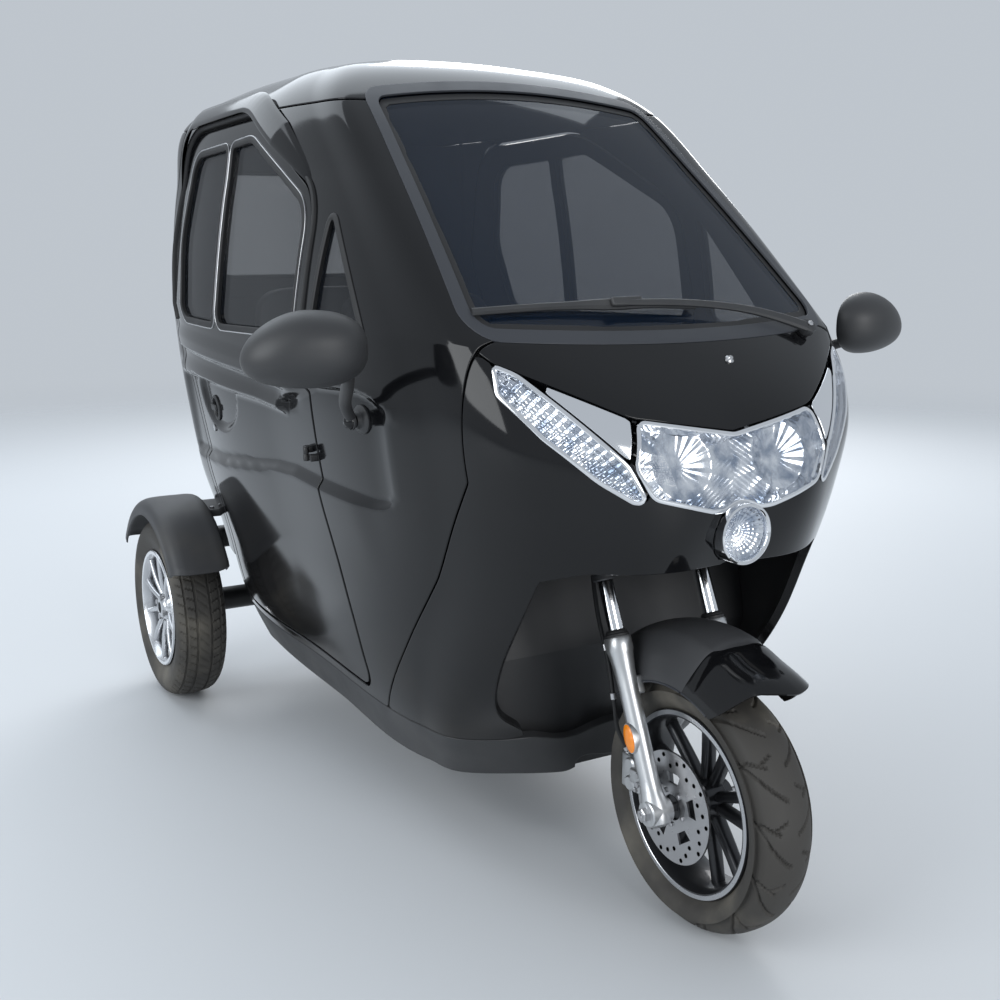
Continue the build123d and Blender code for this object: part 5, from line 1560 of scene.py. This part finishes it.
# %% Bumper
BUMPER_Y, BACKWARD = 1894, (0, 1, 0)
bumper = Shape().add(*block((-330, BUMPER_Y - 44, 356), (330, BUMPER_Y, 418), 13))
for x in (-300, 110):
    bumper.add(*block((x, BUMPER_Y - 6, 376), (x + 190, BUMPER_Y + 2, 398), 3.5))
for x in (-70, 70):
    bumper.add(*lathe([(3, 0.3), (0.1, 0.3)], BACKWARD, (x, BUMPER_Y, 387), 20), 1)
    bumper.add(*lathe([(6, 0), (5.6, 0.8), (3, 0.8), (3, -1)], BACKWARD, (x, BUMPER_Y, 387), 20), 2)
bumper.make("bumper_bar", [trim, rubber, steel], "root", ["rear_bumper"])
tally("bumper")


# %% Seats
def seat(half, y, deep, name, node):
    """Cushion and leaning back. The back is sheared by y += lean (z - foot) / (crest - foot)."""
    base, top, foot, crest, lean = 558, 652, 650, 1120, 60
    seams = (-half / 3, half / 3)
    made = Shape().add(*puffed((-half, y, base), (half, y + deep, top), seams))
    verts, faces = puffed((-half, y + deep - 70, foot), (half, y + deep + 2, crest), seams)
    verts[..., 1] += lean * (verts[..., 2] - foot) / (crest - foot)
    made.add(verts, faces)
    made.make(name, [seat_mat], "root", [node])


seat(205, 840, 330, "driver_cushions", "driver_seat")
seat(270, 1300, 300, "passenger_cushions", "passenger_seat")
tally("seats")

# %% Handlebar
bar_at = (0, 381.8, 1000)
bar = Shape().add(*turned([(-300, 0.1), (-300, 11), (300, 11), (300, 0.1)], 28, bar_at, False))
grip = [(186, 11)]
for x in range(188, 302, 6):
    grip += [(x, 16.6), (x + 3.5, 16.6), (x + 4.5, 15.2), (x + 5.5, 15.2)]
grip += [(302, 16), (304, 12), (304, 0.1)]
grips = Shape().add(*turned(grip, 36, bar_at, False), 1)
grips.add(*block((140, 364, 984), (184, 402, 1016), 8))
lever = curve([(170, 366, 1000), (200, 346, 1002), (250, 336, 1010), (290, 334, 1016)], 24)
grips.add(*swept(lever, circle(5, 12), LEVEL_UP), 2)
bar = joined(bar, grips.both())
bar.add(*block((-46, 348, 998), (46, 416, 1030), 9))
for profile, slot in (([(44, 0), (44, 16), (41, 19), (38, 17)], 0), ([(38, 16), (20, 17), (0.1, 17.2)], 3)):
    bar.add(*lathe(profile, (0, 0.62, 0.78), (0, 392, 1026), 48), slot)
bar.make("bar_and_grips", [trim, rubber, steel, black], "steering", ["handlebar"])
tally("handlebar")

# %% [markdown]
# ## Floor, light and camera
# Gloss black shows only what it mirrors, so the lights draw its shape. A picture of a sky could light it,
# but the file uses no pictures. Here a pale floor, a wide soft light overhead and three cards give long
# clean highlights, and the camera stands where the photograph was taken.


# %% Helpers for floor and lights
def link(made):
    """The object, put into the scene."""
    bpy.context.scene.collection.objects.link(made)
    return made


def area_light(name, at, to, size, power, tint=(1, 1, 1)):
    """A rectangular light at one point, facing another."""
    data = bpy.data.lights.new(name, "AREA")
    data.shape, data.size, data.size_y = "RECTANGLE", *size
    data.energy, data.color = power, tint
    made = link(bpy.data.objects.new(name, data))
    made.location = at
    made.rotation_euler = (Vector(to) - Vector(at)).to_track_quat("-Z", "Y").to_euler()


# %% Floor
floor_mesh = bpy.data.meshes.new("floor")
floor_mesh.from_pydata([(-30, -30, 0), (30, -30, 0), (30, 30, 0), (-30, 30, 0)], [], [(0, 1, 2, 3)])
floor_paint = varied(Paint("floor", (0.62, 0.64, 0.66), 0.6), 0.55, 0.65, 1.0)
far = (floor_paint.x * floor_paint.x + floor_paint.y * floor_paint.y).math("SQRT")
floor_paint.feed("Alpha", 1.0 - far.ramp(3.5, 9.0))
floor_mesh.materials.append(floor_paint.mat)
link(bpy.data.objects.new("floor", floor_mesh))
tally("floor")

# %% Lights and sky
area_light("overhead", (0.5, 4.7, 5.4), (0, 0.2, 0.8), (9, 5), 230, (0.86, 0.93, 1.0))
area_light("left_card", (-4.5, -1.0, 2.6), (0, 0, 0.7), (3.2, 3.0), 120, (0.95, 0.98, 1.0))
area_light("front_card", (0.5, -6.0, 2.2), (0, -0.4, 0.7), (2.6, 2.4), 120)
area_light("rear_card", (3.5, 4.5, 3.0), (0, 0.6, 0.8), (3, 2.5), 130)
world = bpy.data.worlds.new("studio")
world.use_nodes = True
background = world.node_tree.nodes["Background"].inputs
background["Color"].default_value = (0.74, 0.80, 0.87, 1)
background["Strength"].default_value = 0.7
bpy.context.scene.world = world
print("lights", len(bpy.data.lights))

# %% Camera
# The camera's place, angles and lens come from a fit to the photograph.
yaw, pitch = math.radians(29.845), math.radians(-11.976)
gaze = Vector((math.sin(yaw) * math.cos(pitch), math.cos(yaw) * math.cos(pitch), math.sin(pitch)))
camera_data = bpy.data.cameras.new("photo_camera")
camera_data.lens, camera_data.sensor_width = 45.68, 36.0
camera = link(bpy.data.objects.new("photo_camera", camera_data))
camera.location = (-1.4163, -2.5677, 1.2707)
camera.rotation_euler = gaze.to_track_quat("-Z", "Y").to_euler()
bpy.context.scene.camera = camera
bpy.context.scene.view_settings.view_transform = "Standard"
print("lens", camera_data.lens, "mm")
